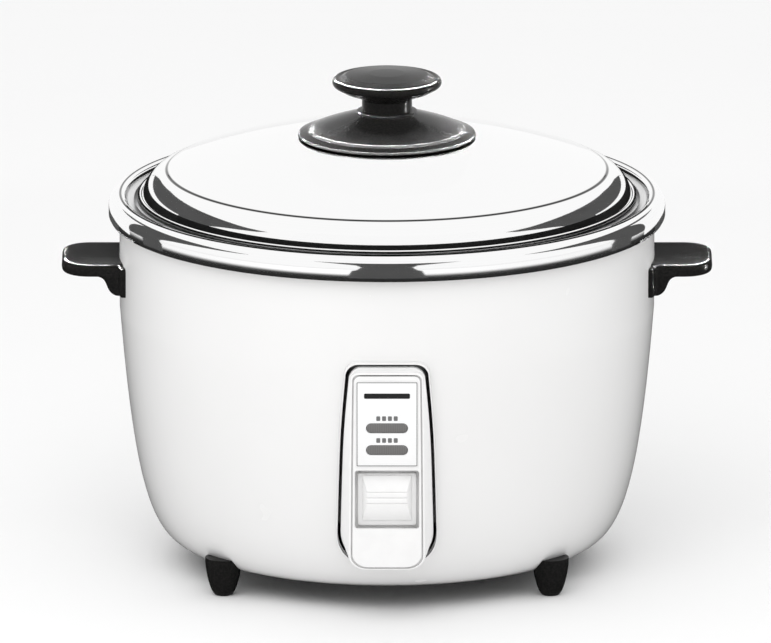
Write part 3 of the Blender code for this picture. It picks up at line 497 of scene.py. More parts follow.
body = {
    "lead": (0.0210, 0.0045),  # pull of the wall's curve at its base
    "trail": (0.0098, 0.1280),  # and at its top
    "baseRadius": 0.1381,
    "taperHeight": 0.1779,
    "flangeRadius": 0.1240,
    "neckRadius": 0.1710,
    "slot": ((-0.022, -0.2, 0.058), (0.022, -0.14, 0.150)),  # behind the switch key
    "beyond": 0.2,  # a distance back that is clear of the wall
}
shellLow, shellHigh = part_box("body_shell")


def wallLine():
    base = (body["baseRadius"], shellLow.z)
    top = (shellHigh.x, body["taperHeight"])
    lead = (base[0] + body["lead"][0], base[1] + body["lead"][1])
    trail = (top[0] - body["trail"][0], top[1] - body["trail"][1])
    return curved(base, lead, trail, top, 48)


wallPoints = wallLine() + [(shellHigh.x, shellHigh.z)]


def wallRadius(z):
    for (r0, z0), (r1, z1) in zip(wallPoints, wallPoints[1:]):
        if z0 <= z <= z1:
            return r0 + (r1 - r0) * (z - z0) / (z1 - z0)
    return wallPoints[0][0]


def bodySpace():
    # the room that the body takes up, with a fitted piece's clearance
    outer = shifted([(body["flangeRadius"], shellLow.z), *wallPoints], -maker["gap"])
    return turned([(0, outer[0][1]), *outer, (0, shellHigh.z)])


def makeBody():
    sheet, neck = maker["sheet"], body["neckRadius"]
    outer = [(body["flangeRadius"], shellLow.z), *wallPoints]
    inner = shifted(outer, sheet)
    inner[0] = (body["flangeRadius"], shellLow.z + sheet)
    inner[-1] = (shellHigh.x - sheet, shellHigh.z - sheet)
    lip = [(neck, shellHigh.z), (neck, shellHigh.z - sheet)]
    shell = newPiece("enamelBody", turned(outer + lip + inner[::-1]), "white_enamel")
    inletLow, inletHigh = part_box("power_inlet")
    gap = Vector((maker["gap"],) * 3)
    inletCut = boxed(inletLow - gap, (inletHigh.x + gap.x, body["beyond"], inletHigh.z + gap.z))
    carved(shell, gathered([boxed(*body["slot"]), inletCut]))
    return fitted(shell, "housing", ["body_shell"])


enamelBody = makeBody()
print("body made")

ring = {
    "crest": (0.1798, 0.2545),
    "crestTurn": (0.0002, 0.0003, 0.0004),  # in, down and fillet, just inside the crest
    "seatHeight": 0.2494,
    "seatEdge": (0.0030, 0.0010),  # in from the crest, and its fillet
    "seatFillet": 0.0012,
    "skirtRadius": 0.1630,
    "skirtHeight": 0.2380,
    "bandPulls": (0.0050, 0.0036),  # out from the crest, and down from it
    "bandDrop": 0.0088,
    "lip": (0.0012, 0.0022, 0.0014),  # turn-in, height and fillet of the lower edge
}


def makeRing():
    low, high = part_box("top_ring")
    crestR, crestZ = ring["crest"]
    seat, skirt = ring["seatHeight"], ring["skirtRadius"]
    seatIn, seatRound = ring["seatEdge"]
    crestIn, crestDown, crestRound = ring["crestTurn"]
    outside = [
        (skirt, ring["skirtHeight"]),
        (skirt, seat, ring["seatFillet"]),
        (crestR - seatIn, seat, seatRound),
        (crestR - crestIn, crestZ - crestDown, crestRound),
    ]
    pullOut, pullDown = ring["bandPulls"]
    side = (high.x, crestZ - ring["bandDrop"])
    band = curved((crestR, crestZ), (crestR + pullOut, crestZ), (high.x, crestZ - pullDown), side)
    turnIn, rise, fillet = ring["lip"]
    lip = filleted([side, (high.x, low.z + rise, fillet), (high.x - turnIn, low.z)])
    line = filleted(outside) + band + lip[1:]
    closed = line + shifted(line, -maker["sheet"])[::-1]
    steel = newPiece("steelRing", turned(closed), "ringSteel")
    fitted(steel, "housing", ["top_ring"])


liner = {
    "corner": 0.0060,
    "hole": 0.0245,
    "endHoles": ((-0.0180, 0.0831), (0.0180, 0.0831)),  # for the ends of the heating element
    "endHoleRadius": 0.006,
    "endHoleReach": 0.01,
}


def makeLiner():
    low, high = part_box("inner_liner")
    wall = filleted([(liner["hole"], low.z), (high.x, low.z, liner["corner"]), (high.x, high.z)], 10)
    inner = shifted(wall, maker["sheet"])
    shell = newPiece("linerShell", turned(wall + inner[::-1]), "galvanised_steel")
    holes, reach = [], liner["endHoleReach"]
    for x, y in liner["endHoles"]:
        holes.append(barred((x, y, low.z - reach), (x, y, low.z + reach), liner["endHoleRadius"]))
    carved(shell, gathered(holes))
    fitted(shell, "housing", ["inner_liner"])


heater = {
    "hole": (0.0195, 0.0008),  # radius, and the fillet of its upper edge
    "rim": 0.0016,
    "channelRadius": 0.085,
    "channelHalf": 0.0054,
    "channelDepth": 0.005,
    "bevel": (0.004, 0.005, 0.001),  # in, up and fillet, round the underside
}


def makeHeaterPlate():
    low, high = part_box("heater_plate")
    hole, holeRound = heater["hole"]
    inside = heater["channelRadius"] - heater["channelHalf"]
    outside = heater["channelRadius"] + heater["channelHalf"]
    roof = low.z + heater["channelDepth"]
    bevelIn, bevelUp, bevelRound = heater["bevel"]
    line = [(hole, low.z), (inside, low.z), (inside, roof), (outside, roof), (outside, low.z)]
    line += [(high.x - bevelIn, low.z), (high.x, low.z + bevelUp, bevelRound)]
    line += [(high.x, high.z, heater["rim"]), (hole, high.z, holeRound)]
    plate = newPiece("heaterPlate", turned(filleted(line)), "cast_aluminium")
    fitted(plate, "housing", ["heater_plate"])


sensor = {"wall": 0.0008, "radius": 0.0170, "flange": 0.001, "fillets": (0.0016, 0.0006, 0.001)}


def makeSensorCap():
    low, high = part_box("sensor_cap")
    wall, radius, flangeTop = sensor["wall"], sensor["radius"], low.z + sensor["flange"]
    topRound, footRound, innerRound = sensor["fillets"]
    ceiling = high.z - 2 * wall
    top = [(0, high.z), (radius, high.z, topRound), (radius, flangeTop, footRound), (high.x, flangeTop)]
    under = [(high.x, low.z), (radius - wall, low.z), (radius - wall, ceiling, innerRound), (0, ceiling)]
    cap = newPiece("sensorCap", turned(filleted(top + under), 96), "pan_aluminium")
    fitted(cap, "sensor", ["sensor_cap"])


screw = {
    # shares of the head's radius
    "head": 0.55,  # height of the head
    "shank": 0.42,
    "crown": 0.55,
    "crossReach": 0.55,
    # shares of the head's height
    "crownDrop": 0.62,
    "crossDepth": 0.55,
    # shares of the shank's radius
    "core": 0.84,  # between threads
    "tip": 0.7,
    "pitch": 0.0008,
    "plain": 0.0005,  # between the head and the first thread
    "slotHalf": 0.0005,
}


def makeScrew(node, name, headRadius, ridesOn):
    # a pan head with a cross recess, facing down
    low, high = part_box(node)
    x, y = axisOf(node)
    length, pitch, slot = high.z - low.z, screw["pitch"], screw["slotHalf"]
    head, shank = screw["head"] * headRadius, screw["shank"] * headRadius
    line = [(0, 0), (headRadius * screw["crown"], 0, 0.001)]
    line += [(headRadius, -head * screw["crownDrop"], 0.0006), (headRadius, -head), (shank, -head)]
    for i in range(int((length - head) / pitch) - 1):
        start = -head - screw["plain"] - i * pitch
        line += [(shank * screw["core"], start), (shank, start - pitch / 2)]
    line += [(shank * screw["tip"], -length), (0, -length)]
    piece = newPiece(name, turned(filleted(line), 40), "zinc_steel")
    arm, floor, past = headRadius * screw["crossReach"], -head * screw["crossDepth"], maker["past"]
    carved(piece, boxed((-arm, -slot, floor), (arm, slot, past)))
    carved(piece, boxed((-slot, -arm, floor), (slot, arm, past)))
    piece.data.transform(Matrix.Translation((x, y, low.z)) @ Matrix.Rotation(math.pi, 4, "X"))
    fitted(piece, ridesOn, [node])


cover = {
    "rise": 0.0020,  # of the pressed middle
    "step": (0.040, 0.043),  # radii of the pressing's edge, on the underside
    "innerStep": (0.0395, 0.0425),
    "bend": 0.002,
    "vents": 6,
    "ventReach": (0.050, 0.100),
    "ventHalf": 0.003,
    "ventCut": 0.03,
    "screwHole": 0.0024,
    "screwHead": 0.0040,
}


def makeCover():
    low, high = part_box("bottom_cover")
    rise, bend, half, cut = cover["rise"], cover["bend"], cover["ventHalf"], cover["ventCut"]
    (near, far), (innerNear, innerFar) = cover["step"], cover["innerStep"]
    line = [(0, low.z + rise), (near, low.z + rise, bend), (far, low.z, bend), (high.x, low.z)]
    line += [(high.x, high.z), (innerFar, high.z, bend), (innerNear, high.z + rise, bend), (0, high.z + rise)]
    plate = newPiece("bottomCover", turned(filleted(line, 4), 96), "galvanised_steel")
    cuts = []
    start, end = cover["ventReach"]
    ends = arced((end - half, 0), (half, half), -90, 90) + arced((start + half, 0), (half, half), 90, 270)
    for i in range(cover["vents"]):
        slot = lofted([[(x, y, z) for x, y in ends] for z in (0, cut)])
        turn = Matrix.Rotation(math.tau * i / cover["vents"], 3, "Z")
        bmesh.ops.rotate(slot, verts=slot.verts, matrix=turn)
        cuts.append(slot)
    for i in range(1, 4):
        x, y = axisOf(f"cover_screw_{i}")
        cuts.append(barred((x, y, 0), (x, y, cut), cover["screwHole"]))
        makeScrew(f"cover_screw_{i}", f"coverScrew_{i}", cover["screwHead"], "housing")
    carved(plate, gathered(cuts))
    fitted(plate, "housing", ["bottom_cover"])


makeRing()
makeLiner()
makeHeaterPlate()
makeSensorCap()
makeCover()
print("ring, liner, heater and underside made")

handle = {
    "root": 0.1700,
    "corner": 0.0190,
    "edge": 0.0030,
    "thick": 0.0092,
    "half": 0.0335,
    "padHalf": 0.0420,
    "padOut": 0.0040,
    "padHeight": 0.2,  # where the pad follows the curve of the wall
    "padEdge": 0.0016,
    "padEnds": (0.0004, 0.0012),  # short of the handle's base and top
    "grain": 0.0008,  # size of the cells that blend the shapes
    "softening": 14,
}
bracket = {
    "half": 0.0345,
    "edge": 0.0015,
    "sink": 0.0020,  # how far it runs up into the grip
    "reach": 0.1960,
    "throat": 0.1940,
    "throatPull": (0.1885, 0.0014),  # out, and down from the grip
    "toePull": (0.1905, 0.1935),
    "toe": (0.1845, 0.0006),
    "heel": 0.1835,
}


def gripPlan(inset, reach):
    half, corner = handle["half"] - inset, handle["corner"] - inset
    along, across = reach - inset - corner, half - corner
    near = arced((along, -across), (corner, corner), -90, 0, 16)
    far = arced((along, across), (corner, corner), 0, 90, 16)
    return [(handle["root"], -half), *near, *far, (handle["root"], half)]


def roundedSlab(planAt, low, high, edge, steps=6):
    # a plan given thickness, its rims rounded by edge
    loops = []
    for centre, start in ((low + edge, -90), (high - edge, 0)):
        for i in range(steps + 1):
            angle = math.radians(start + 90 * i / steps)
            height = centre + edge * math.sin(angle)
            loops.append([(x, y, height) for x, y in planAt(edge - edge * math.cos(angle))])
    return lofted(loops)


def padPlan(inset):
    radius = wallRadius(handle["padHeight"]) + handle["padOut"] - inset
    half, root = handle["padHalf"] - inset, handle["root"]
    turn = math.degrees(math.asin(half / radius))
    return [(root, -half), *arced((0, 0), (radius, radius), -turn, turn, 20), (root, half)]


def bracketShape(base, foot):
    # the web under the grip
    root, half, edge = handle["root"], bracket["half"], bracket["edge"]
    (pullOut, pullDown), (toeOut, toeUp) = bracket["throatPull"], bracket["toe"]
    side = [(root, base + bracket["sink"]), (bracket["reach"], base + bracket["sink"])]
    pulls = ((pullOut, base - pullDown), bracket["toePull"])
    side += curved((bracket["throat"], base), *pulls, (toeOut, foot + toeUp), 14)
    side += [(bracket["heel"], foot), (root, foot)]
    loops = []
    for across, inset in ((-half, edge), (-half + edge, 0), (half - edge, 0), (half, edge)):
        loops.append([(x - inset, across, z + inset * 0.5) for x, z in side])
    return lofted(loops)


def makeHandles():
    low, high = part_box("handle_right")
    base = high.z - handle["thick"]
    padBase, padTop = low.z + handle["padEnds"][0], high.z - handle["padEnds"][1]
    grip = roundedSlab(lambda inset: gripPlan(inset, high.x), base, high.z, handle["edge"])
    piece = newPiece("gripRight", grip, "black_phenolic")
    carved(piece, roundedSlab(padPlan, padBase, padTop, handle["padEdge"]), "UNION")
    carved(piece, bracketShape(base, low.z), "UNION")
    blend = piece.modifiers.new("blend", "REMESH")
    blend.mode = "VOXEL"
    blend.voxel_size = handle["grain"]
    soften = piece.modifiers.new("soften", "SMOOTH")
    soften.factor = 0.5
    soften.iterations = handle["softening"]
    settled(piece)
    carved(piece, bodySpace())
    other = piece.copy()
    other.data = piece.data.copy()
    other.name = "gripLeft"
    other.data.transform(Matrix.Rotation(math.pi, 4, "Z"))
    bpy.context.scene.collection.objects.link(other)
    fitted(piece, "housing", ["handle_right"])
    fitted(other, "housing", ["handle_left"])
    return [piece, other]


foot = {
    "wall": ((0.46, 0), (0.66, 0.0010), (0.93, 0.0120)),  # share of the radius, and height
    "upright": 0.004,  # at the top
}


def makeFeet():
    for side in ("left", "right"):
        for end in ("front", "rear"):
            node = f"foot_{side}_{end}"
            low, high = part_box(node)
            top, radius = high.z, (high.x - low.x) / 2
            pulls = [(radius * share, z) for share, z in foot["wall"]]
            wall = curved(*pulls, (radius, top - foot["upright"]), 16)
            line = [(0, 0), *wall, (radius, top), (0, top)]
            piece = newPiece(f"foot{side.title()}{end.title()}", turned(line, 72), "black_phenolic")
            piece.data.transform(Matrix.Translation((*axisOf(node), 0)))
            carved(piece, bodySpace())
            fitted(piece, "housing", [node])


grips = makeHandles()
makeFeet()
print("handles and feet made")

panel = {
    "wall": 0.0022,
    # each pair is a size on the front face, and what it gains where the panel meets the body
    "halfTop": (0.0240, 0.0046),
    "halfBase": (0.0250, 0.0090),
    "corner": (0.0040, 0.0050),
    "turnAcross": (0.0110, 0.0030),
    "turnUp": (0.0090, 0.0110),
    "bellyOut": (0.0006, 0.0031),
    "bellyHeight": (0.1200, 0.0100),
    "topSlope": 0.0070,
    "faceRound": ((0.10, 0, 0.0010), (0.03, 0, 0.0003), (0.0, 0.0001, 0.0001)),  # spread, inset, depth
    "faceInset": 0.0004,
    "line": (0.0007, 0.0018, 0.0026),  # insets of its edges and depth of the line round the face
    "parting": (0.0006, 0.0023, 0.0070),  # lip, width and lift of the groove round the outside
    "partingFloor": 0.0002,
    "partingRound": 0.0003,
    "backs": (-0.150, -0.140),  # of the panel and of its hollow, behind the wall
    "opening": (-0.200, -0.130),  # from and to, for the hole in the enamel
    "hollowLift": 0.0009,
    "windowCorner": 0.0020,
    "windowHalf": 0.0216,
    "windowHeights": (0.0676, 0.1080),
    "cutReach": 0.002,
    "lensHalf": 0.0138,
    "lensHalfHeight": 0.00315,
    "lensHeights": (0.1374, 0.1223),
    "lensEase": 0.0006,
}


def panelLoop(inset, spread, depthAt):
    # spread is 0 on the front face and 1 where the panel meets the body
    def size(name):
        onFace, gain = panel[name]
        return onFace + gain * spread

    low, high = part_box("panel_bezel")
    top = high.z - panel["topSlope"] * (1 - spread) - inset
    base = low.z + inset
    halfTop, halfBase = size("halfTop") - inset, size("halfBase") - inset
    corner, turn = size("corner"), (size("turnAcross"), size("turnUp"))
    lower = arced((halfBase - turn[0], base + turn[1]), turn, -90, 0, 14)
    belly = (halfTop + size("bellyOut"), size("bellyHeight"))
    side = curved(lower[-1], belly, belly, (halfTop, top - corner), 20)[1:-1]
    upper = arced((halfTop - corner, top - corner), (corner, corner), 0, 90, 12)
    right = lower + side + upper
    outline = right + [(-x, z) for x, z in reversed(right)]
    return [(x, depthAt(x, z), z) for x, z in outline]


def onBody(lift):
    return lambda x, z: -math.sqrt(wallRadius(z) ** 2 - x * x) - lift


def onPlane(y):
    return lambda x, z: y


def stadium(half, halfHeight, z, near, far):
    ends = arced((half - halfHeight, z), (halfHeight,) * 2, -90, 90, 14)
    ends += arced((-half + halfHeight, z), (halfHeight,) * 2, 90, 270, 14)
    return lofted([[(x, y, z) for x, z in ends] for y in (near, far)])


def roundedBlock(half, heights, corner, near, far):
    low, high = heights
    line = []
    for x, z, start in ((half, low, -90), (half, high, 0), (-half, high, 90), (-half, low, 180)):
        centre = (math.copysign(abs(x) - corner, x), z + (corner if z == low else -corner))
        line += arced(centre, (corner, corner), start, start + 90, 8)
    return lofted([[(x, y, z) for x, z in line] for y in (near, far)])


def lensSlots(near, far):
    gap = maker["gap"]
    size = (panel["lensHalf"] + gap, panel["lensHalfHeight"] + gap)
    return [stadium(*size, z, near, far) for z in panel["lensHeights"]]


def faceLine(face):
    # the line between the face and the flanks, as a shape to cut away
    outset, inset, depth = panel["line"]
    past, longer = maker["past"], 1.2  # the inner shape passes right through the outer one
    outer = lofted([panelLoop(outset, 0, onPlane(y)) for y in (face - past, face + depth)])
    ends = (face - past * longer, face + depth * longer)
    inner = lofted([panelLoop(inset, 0, onPlane(y)) for y in ends])
    band = carved(newPiece("lineBand", outer, "white_plastic"), inner)
    shape = bmesh.new()
    shape.from_mesh(band.data)
    bpy.data.objects.remove(band)
    return shape


def makePanel():
    face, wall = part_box("panel_bezel")[0].y, panel["wall"]
    lip, wide, lift = panel["parting"]
    edge, floor, (back, hollowBack) = panel["partingRound"], panel["partingFloor"], panel["backs"]
    outer = lip + wide
    profile = [(0, lift - edge), (edge, lift), (lip - edge, lift), (lip, lift - edge), (lip, floor)]
    profile += [(outer, floor), (outer, lift), (outer + edge, lift + 2 * edge)]
    loops = [panelLoop(0, 1, onPlane(back))]
    loops += [panelLoop(inset, 1, onBody(rise)) for inset, rise in profile]
    loops += [panelLoop(inset, spread, onPlane(face + depth)) for spread, inset, depth in panel["faceRound"]]
    loops.append(panelLoop(panel["faceInset"], 0, onPlane(face)))
    bezel = newPiece("panelBezel", lofted(loops), "white_plastic")
    carved(bezel, faceLine(face))
    hollow = [panelLoop(wall, 0, onPlane(face + wall)), panelLoop(wall, 1, onBody(panel["hollowLift"]))]
    hollow.append(panelLoop(wall, 1, onPlane(hollowBack)))
    carved(bezel, lofted(hollow))
    near, far = face - panel["cutReach"], face + wall + panel["cutReach"]
    window = roundedBlock(panel["windowHalf"], panel["windowHeights"], panel["windowCorner"], near, far)
    carved(bezel, gathered([window, *lensSlots(near, far)]))
    carved(bezel, bodySpace())
    fitted(bezel, "housing", ["panel_bezel"])
    # the enamel is open behind the panel, so the groove round it is dark
    carved(enamelBody, lofted([panelLoop(lip + edge, 1, onPlane(y)) for y in panel["opening"]]))


label = {
    "lift": 0.0003,  # of the plate's front, back from the space it is given
    "corner": 0.0006,
    "ease": 0.00012,
    "ink": 0.00006,  # half thickness of the print
    "mark": (0.0154, 0.1578, 0.1614, 0.0009),  # plain bar: half width, heights and corner
    "border": (0.0002, 0.0005, 0.0006, 0.0004),  # inset, width, outer and inner corner
    "words": (0.1441, 0.1290),  # middle heights of the two rows of small blocks
    "wordHalf": 0.0078,
    "wordHeight": 0.0032,
    "wordCorner": 0.0006,
    "blockShare": 0.34,  # half of a block's width, as a share of the pitch
}


def makeLabel():
    low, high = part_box("label_plate")
    front, past, ink = low.y + label["lift"], maker["past"], label["ink"]
    sheet = roundedBlock(high.x, (low.z, high.z), label["corner"], front, high.y)
    plate = newPiece("labelPlate", sheet, "label_aluminium")
    eased(plate, label["ease"], 2)
    carved(plate, gathered(lensSlots(front - past, high.y + past)))
    fitted(plate, "housing", ["label_plate"])
    half, start, end, corner = label["mark"]
    bar = newPiece("labelBar", roundedBlock(half, (start, end), corner, front - ink, front + ink), "ink")
    fitted(bar, "housing")
    inset, wide, outerCorner, innerCorner = label["border"]
    heights = (low.z + inset, high.z - inset)
    frameShape = roundedBlock(high.x - inset, heights, outerCorner, front - ink, front + ink)
    border = newPiece("labelBorder", frameShape, "fineInk")
    inset += wide
    heights = (low.z + inset, high.z - inset)
    carved(border, roundedBlock(high.x - inset, heights, innerCorner, front - past, front + past))
    fitted(border, "housing")
    blocks, pitch, rise = [], label["wordHalf"] / 2, label["wordHeight"] / 2
    for z in label["words"]:
        for i in range(4):
            half = pitch * label["blockShare"]
            block = roundedBlock(half, (z - rise, z + rise), label["wordCorner"], front - ink, front + ink)
            bmesh.ops.translate(block, verts=block.verts, vec=((i - 1.5) * pitch, 0, 0))
            blocks.append(block)
    fitted(newPiece("labelWords", gathered(blocks), "fineInk"), "housing")


def makeLenses():
    for name, z in zip(("cook", "warm"), panel["lensHeights"]):
        low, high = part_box(f"{name}_lens")
        shape = stadium(high.x, (high.z - low.z) / 2, z, low.y, high.y)
        lens = newPiece(f"{name}Lens", shape, f"{name}_lens")
        eased(lens, panel["lensEase"], 4)
        fitted(lens, "housing", [f"{name}_lens"])


key = {
    "half": 0.0164,
    "heights": (0.0726, 0.1034),
    "ridgeHalf": 0.0131,
    "ridgeHeights": (0.0845, 0.0923),
    "step": (0.0004, 0.0009),  # of the block's foot, behind and before the plate's front
    "plateHalf": 0.0195,
    "plateHeights": (0.0689, 0.1046),
    "plateLift": 0.0016,
    "plateCorner": 0.0012,
    "flangeBack": 0.0015,
    "flangeCorner": 0.0020,
    "moat": (0.0220, 0.0640, 0.1110, 0.0003),  # half width, heights and floor of the sunk border
    "grooves": (0.0845, 0.0884, 0.0923),
    "grooveSize": (0.0015, 0.0012),  # half width at its mouth, and depth
    "ease": 0.00022,
}


def makeKey():
    low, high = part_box("switch_key")
    front, back, past = low.y, high.y, maker["past"]
    flangeFront = back - key["flangeBack"]
    plateFront = flangeFront - key["plateLift"]
    flange = roundedBlock(high.x, (low.z, high.z), key["flangeCorner"], flangeFront, back)
    piece = newPiece("switchKey", flange, "white_plastic")
    plateHalf, plateHeights = key["plateHalf"], key["plateHeights"]
    plate = roundedBlock(plateHalf, plateHeights, key["plateCorner"], plateFront, flangeFront + 0.0005)
    carved(piece, plate, "UNION")
    behind, before = key["step"]
    base, ridge = (key["half"], key["heights"]), (key["ridgeHalf"], key["ridgeHeights"])
    loops = []
    for y, (half, (start, end)) in ((plateFront + behind, base), (plateFront - before, base), (front, ridge)):
        loops.append([(-half, y, start), (half, y, start), (half, y, end), (-half, y, end)])
    carved(piece, lofted(loops), "UNION")
    wide, deep = key["grooveSize"]
    cuts = []
    for z in key["grooves"]:
        side = [(front - past, z - wide), (front - past, z + wide), (front + deep, z)]
        cuts.append(lofted([[(x, y, height) for y, height in side] for x in (-0.03, 0.03)]))
    carved(piece, gathered(cuts))
    half, start, end, floor = key["moat"]
    for (x0, z0), (x1, z1) in (
        ((-half, start), (half, plateHeights[0])),
        ((-half, plateHeights[1]), (half, end)),
        ((-half, start), (-plateHalf, end)),
        ((plateHalf, start), (half, end)),
    ):
        carved(piece, boxed((x0, front - past, z0), (x1, back - floor, z1)))
    eased(piece, key["ease"], 2)
    fitted(piece, "lever", ["switch_key"])


makePanel()
makeLabel()
makeLenses()
makeKey()
print("front panel made")

inlet = {
    "rim": 0.0045,
    "ease": 0.0008,
    "corner": 0.0040,
    "socketDepth": 0.0150,
    "socketCorner": 0.0030,
    "pinRadius": 0.0019,
    "pinHole": 0.0023,
}


def makeInlet():
    low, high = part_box("power_inlet")
    rim, floor, past = inlet["rim"], high.y - inlet["socketDepth"], maker["past"]
    block = roundedBlock(high.x, (low.z, high.z), inlet["corner"], low.y, high.y)
    case = newPiece("inletCase", block, "dark_plastic")
    eased(case, inlet["ease"])
    heights = (low.z + rim, high.z - rim)
    socket = roundedBlock(high.x - rim, heights, inlet["socketCorner"], floor, high.y + past)
    holes = []
    for i in range(1, 4):
        pinLow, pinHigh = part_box(f"inlet_pin_{i}")
        x, z = (pinLow.x + pinHigh.x) / 2, (pinLow.z + pinHigh.z) / 2
        holes.append(barred((x, low.y - past, z), (x, floor + past, z), inlet["pinHole"]))
        bar = barred((x, pinLow.y, z), (x, pinHigh.y, z), inlet["pinRadius"])
        pin = newPiece(f"inletPin{i}", bar, "brass")
        eased(pin, inlet["ease"], 4)
        fitted(pin, "housing", [f"inlet_pin_{i}"])
    carved(case, socket)
    carved(case, gathered(holes))
    fitted(case, "housing", ["power_inlet"])


makeInlet()
print("power inlet made")

pan = {
    "wall": 0.0020,
    "topRadius": 0.1575,
    "lowRadius": 0.1540,
    "corner": 0.0300,
    "neckHeight": 0.2400,
    "rimThick": 0.0017,
    "rimBend": 0.0030,
    "rimEdge": 0.0008,
    "rimStarts": (0.001, 0.0008),  # out from the wall below, and in from it above
}


def makePan():
    low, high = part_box("pan")
    wall, corner, top, radius = pan["wall"], pan["corner"], high.z, pan["topRadius"]
    under, bend, edge = top - pan["rimThick"], pan["rimBend"], pan["rimEdge"]
    startOut, startIn = pan["rimStarts"]
    centre = (pan["lowRadius"] - corner, low.z + corner)
    outer = [(0, low.z), *arced(centre, (corner, corner), -90, 0, 20)]
    rim = [(radius, pan["neckHeight"]), (radius + startOut, under, bend), (high.x, under, edge)]
    rim += [(high.x, top, edge), (radius - startIn, top, bend), (radius - wall, pan["neckHeight"])]
    inside = arced(centre, (corner - wall, corner - wall), 0, -90, 20) + [(0, low.z + wall)]
    piece = newPiece("spunPan", turned(outer + filleted(rim, 6) + inside), "pan_aluminium")
    fitted(piece, "pan", ["pan"])


lid = {
    "top": 0.2975,
    "domeRadius": 0.4320,
    "shoulder": 0.1488,
    "shoulderStep": (0.0006, 0.0005),  # across and down, at the pressed line
    "skirtPull": (0.0085, 0.0024),  # across and down from the shoulder
    "edgePull": (0.0022, 0.0082),  # in and up from the rolled edge
    "sheet": 0.0008,
    "roll": 0.0016,
    "hole": 0.0032,
}


def domeHeight(r):
    return lid["top"] - lid["domeRadius"] + math.sqrt(lid["domeRadius"] ** 2 - r * r)


def makeLid():
    low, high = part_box("lid")
    roll, hole, steps = lid["roll"], lid["hole"], 40
    reaches = [hole + (lid["shoulder"] - hole) * i / steps for i in range(steps + 1)]
    dome = [(r, domeHeight(r)) for r in reaches]
    rollCentre = (high.x - roll, low.z + roll)
    end = (rollCentre[0] - roll, rollCentre[1] + roll * 0.6)
    start = (dome[-1][0] + lid["shoulderStep"][0], dome[-1][1] - lid["shoulderStep"][1])
    lead = (start[0] + lid["skirtPull"][0], start[1] - lid["skirtPull"][1])
    trail = (end[0] - lid["edgePull"][0], end[1] + lid["edgePull"][1])
    line = dome + curved(start, lead, trail, end, 28)
    edge = arced(rollCentre, (roll, roll), 150, -200, 20)
    inner = shifted(line, -lid["sheet"])
    inner[0] = (hole, inner[0][1])
    piece = newPiece("steelLid", turned(line[:-1] + edge + inner[:-1][::-1]), "lidSteel")
    fitted(piece, "lid", ["lid"])


# corners of the disc under the knob, each with its fillet
knobBase = {
    "rimEase": 0.0006,
    "edge": (0.0595, 0.2962, 0.0004),
    "step": (0.0536, 0.2978, 0.0004),
    "crest": (0.0520, 0.2993, 0.0016),
    "flare": ((0.0430, 0.3034), (0.0300, 0.3072)),
    "neck": (0.0202, 0.3102),
    "collar": (0.0004, 0.0014),  # out from the neck, and its fillet
}


def makeKnobBase():
    low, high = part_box("knob_base")
    bore, rim, ease = lid["hole"], high.x, knobBase["rimEase"]
    reaches = [bore + (rim - ease - bore) * i / 8 for i in range(9)]
    under = [(r, domeHeight(r) + 2 * maker["gap"]) for r in reaches]
    top = [(rim, under[-1][1] + ease), knobBase["edge"], knobBase["step"], knobBase["crest"]]
    flare = curved(knobBase["crest"], *knobBase["flare"], knobBase["neck"], 12)[1:]
    out, fillet = knobBase["collar"]
    collar = [(knobBase["neck"][0] + out, high.z, fillet), (bore, high.z)]
    line = under + filleted([under[-1], *top, flare[0]])[1:-1]
    line += flare + filleted([flare[-1], *collar], 4)[1:]
    disc = newPiece("knobBase", turned(line, 128), "black_phenolic")
    return fitted(disc, "lid", ["knob_base"])


knob = {
    "neckRadius": 0.0170,
    "step": (0.3196, 0.0006),  # height and fillet
    "stepOut": (0.0020, 0.0016, 0.0010),  # out, up and fillet
    "under": (0.0300, 0.3252, 0.0020),
    "rollCentre": (0.0330, 0.3312),
    "rollHeight": 0.0036,
    "crease": (0.0319, 0.3343, 0.00025),
    "corner": (0.0279, 0.3362, 0.0016),
    "crown": (0.0120, 0.0003, 0.004),  # radius, drop and fillet
    "socket": (0.0026, 0.3270),
}


def makeKnob():
    low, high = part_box("knob")
    neck, centre = knob["neckRadius"], knob["rollCentre"]
    (step, stepRound), (out, up, outRound) = knob["step"], knob["stepOut"]
    roll = arced(centre, (high.x - centre[0], knob["rollHeight"]), -70, 82, 18)
    stem = [(neck, low.z), (neck, step, stepRound), (neck + out, step + up, outRound), knob["under"], roll[0]]
    crownRadius, drop, crownRound = knob["crown"]
    crown = [roll[-1], knob["crease"], knob["corner"], (crownRadius, high.z - drop, crownRound), (0, high.z)]
    bore, depth = knob["socket"]
    line = [(0, depth), (bore, depth), (bore, low.z)] + filleted(stem)[:-1] + roll + filleted(crown, 6)[1:]
    head = newPiece("knobHead", turned(line, 128), "black_phenolic")
    return fitted(head, "lid", ["knob"])


knobFixing = {"bore": 0.0028, "fillets": (0.0005, 0.0003), "screwHead": 0.0060}


def makeKnobFixing():
    low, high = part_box("knob_washer")
    bore, (lowRound, topRound) = knobFixing["bore"], knobFixing["fillets"]
    line = [(bore, low.z), (high.x, low.z, lowRound), (high.x, high.z, topRound), (bore, high.z)]
    washer = newPiece("knobWasher", turned(filleted(line), 64), "silicone")
    fitted(washer, "lid", ["knob_washer"])
    makeScrew("knob_screw", "knob_screw", knobFixing["screwHead"], "lid")


makePan()
makeLid()
knobPieces = [makeKnobBase(), makeKnob()]
makeKnobFixing()
print("pan, lid and knob made")
